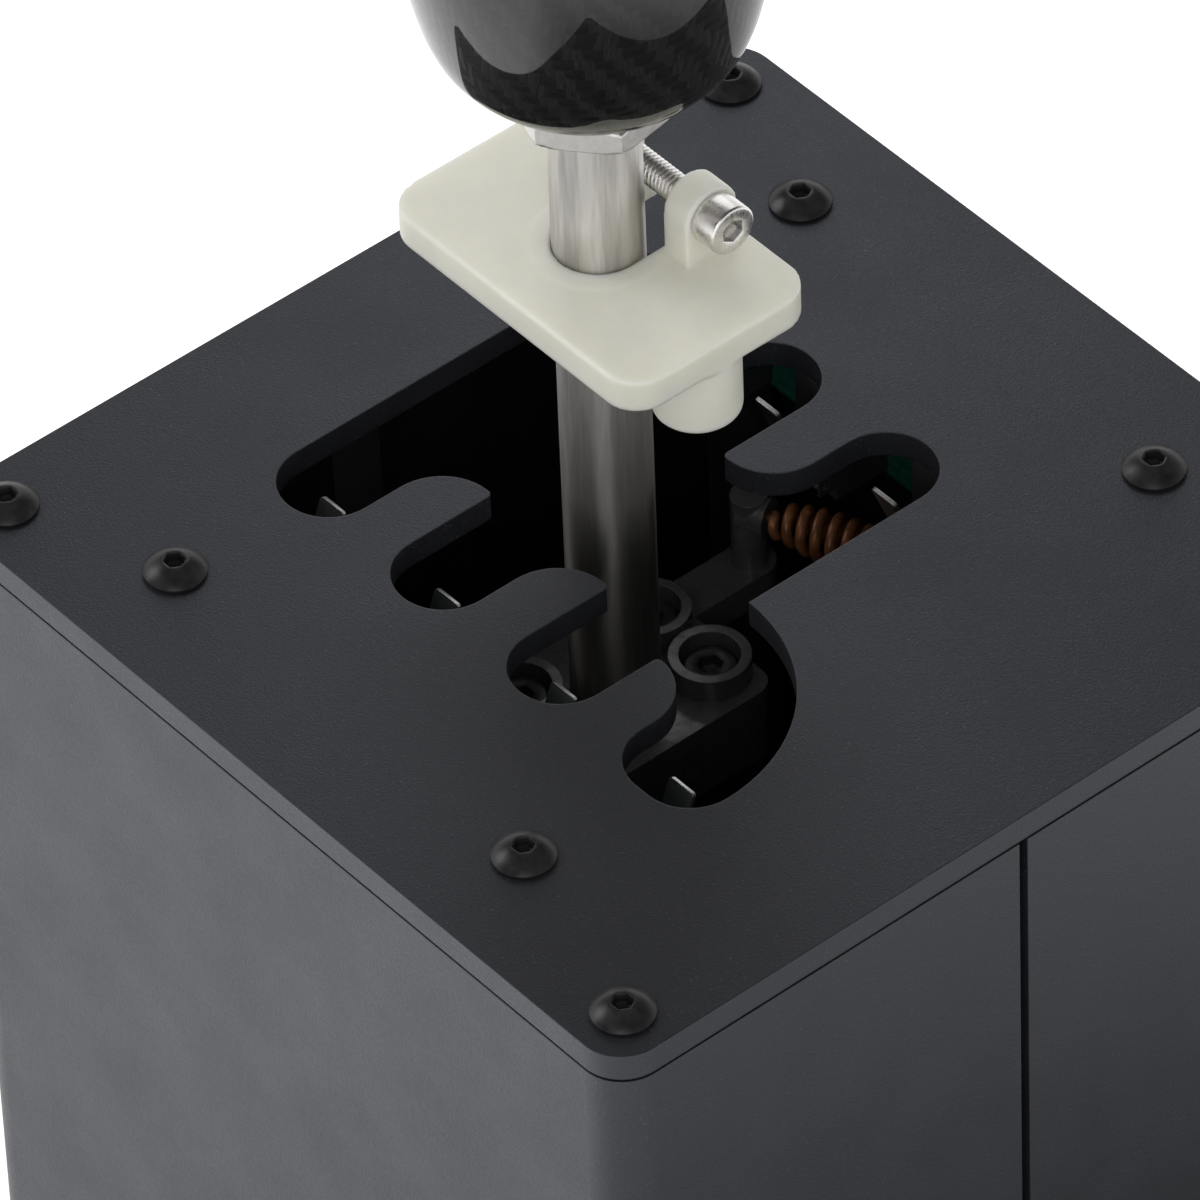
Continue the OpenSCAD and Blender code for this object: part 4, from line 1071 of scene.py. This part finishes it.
class SHIFTER_OT_limiter(bpy.types.Operator):
    """Makes the limiter's plate and its clamp screw, and finishes its nut"""

    bl_idname = "shifter.limiter"
    bl_label = "Limiter"

    # Height of the screw's head, width of its key, and depth of its socket
    HEAD, KEY, DEPTH = 4 * MM, 3 * MM, 2.2 * MM
    # In mm: the plate's bore, thickness and corners, and the boss's radius and height
    BORE, THICK, CORNER, BOSS_R, BOSS_UP = 6.06, 5.0, 5.0, 9.0, 0.2
    # In mm: an ear's places, thickness, the height of its hole, and the radii of it and the hole
    EAR_Y, EAR_X, EAR_T, EAR_UP, EAR_R, HOLE = 9.3, 6.7, 4.6, 6.4, 4.2, 2.1
    # In mm: the peg's place, radius and length
    PEG_X, PEG_R, PEG_L = 18.55, 5.85, 10.6
    # Size in mm of the cubes that melt the parts together, and how often they are softened
    VOXEL, PASSES = 0.3, 6

    def execute(self, context):
        self.plate(context.scene.shifter_limiter)
        bright = steel_finish("bright_screw", (0.82, 0.8, 0.78), 0.27, lines=(1, 1, 1), line_size=0.6 * MM)
        dress(bright, "limiter_nut")
        low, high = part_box("limiter_screw")
        seat = high.x - self.HEAD
        one = socket_screw(seat - low.x, cap_outline(high.y - low.y, self.HEAD), self.KEY, self.DEPTH)
        parts = [moved(one, (seat, (low.y + high.y) / 2, (low.z + high.z) / 2), "X")]
        piece_from("clamp_screw", parts, bright, "limiter", "limiter_screw")
        return {"FINISHED"}

    def plate(self, s):
        """The plate with its open slot, a low boss round the shaft, two ears and the peg, melted
        into one piece with soft edges."""
        low, high = box_mm("limiter")
        half = (high - low)[:2] / 2
        floor = low[2] + self.PEG_L
        top = floor + self.THICK
        bore = arc((0, 0), self.BORE, 0, -180, 40)
        corners = [arc(np.array([x, y]) * (half - self.CORNER), self.CORNER, a, a + 90, 10)
                   for a, x, y in ((90, -1, 1), (180, -1, -1), (270, 1, -1), (0, 1, 1))]
        plate = np.concatenate([[[self.BORE, half[1]]], bore, [[-self.BORE, half[1]]], *corners])
        start = math.degrees(math.acos(self.BORE / self.BOSS_R))
        boss = np.concatenate([bore, arc((0, 0), self.BOSS_R, 180 - start, 360 + start, 48)])
        parts = [slab(plate, floor, top), slab(boss, top - 1, top + self.BOSS_UP)]
        parts += [self.ear(x, top + self.EAR_UP) for x in (self.EAR_X, -self.EAR_X - self.EAR_T)]
        peg = turned([self.PEG_R - 1, self.PEG_R, self.PEG_R], [0, 1, self.PEG_L + 2], 64)
        parts.append(skin(placed(peg, (self.PEG_X, 0, low[2]))))
        piece = piece_from("limiter_plate", in_metres(parts, (LEVER_X / MM, 0, 0)),
                           nylon_finish("milky_nylon", s), "limiter", "limiter")
        melted(piece, self.VOXEL * MM, self.PASSES)

    def ear(self, x, z):
        """An ear with its hole, from x on: round above the hole, and below it as wide as the round
        is, down into the plate."""
        angle = angles()
        below = np.minimum(self.EAR_R / np.maximum(np.abs(np.cos(angle)), 1e-6),
                           (self.EAR_UP + 1.5) / np.maximum(-np.sin(angle), 1e-6))
        reach = np.where(np.sin(angle) > 0, self.EAR_R, below)
        rows = ((reach, 0), (reach, self.EAR_T), (self.HOLE, self.EAR_T), (self.HOLE, 0))
        return loops(np.stack([np.column_stack([np.full(SIDES, x + t), self.EAR_Y + r * np.cos(angle),
                                                z + r * np.sin(angle)]) for r, t in rows]))


OPERATORS = [SHIFTER_OT_stage, SHIFTER_OT_housing, SHIFTER_OT_screws, SHIFTER_OT_switches, SHIFTER_OT_pivot,
             SHIFTER_OT_lever, SHIFTER_OT_carrier, SHIFTER_OT_springs, SHIFTER_OT_knob, SHIFTER_OT_limiter]


class SHIFTER_PT_panel(bpy.types.Panel):
    """Lists the operators in the sidebar"""

    bl_label = "Gear shifter"
    bl_idname = "SHIFTER_PT_panel"
    bl_space_type = "VIEW_3D"
    bl_region_type = "UI"
    bl_category = "Shifter"

    def draw(self, context):
        for operator in OPERATORS:
            self.layout.operator(operator.bl_idname)


def register():
    """Registers the settings, the operators and the panel."""
    for name, group in SETTINGS.items():
        bpy.utils.register_class(group)
        setattr(bpy.types.Scene, name, PointerProperty(type=group))
    for kind in OPERATORS + [SHIFTER_PT_panel]:
        bpy.utils.register_class(kind)


def unregister():
    """Takes away what register added."""
    for kind in reversed(OPERATORS + [SHIFTER_PT_panel]):
        bpy.utils.unregister_class(kind)
    for name, group in SETTINGS.items():
        delattr(bpy.types.Scene, name)
        bpy.utils.unregister_class(group)


def main():
    """Makes every piece in order."""
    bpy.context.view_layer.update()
    register()
    for operator in OPERATORS:
        group, call = operator.bl_idname.split(".")
        getattr(getattr(bpy.ops, group), call)()


if __name__ == "__main__":
    main()
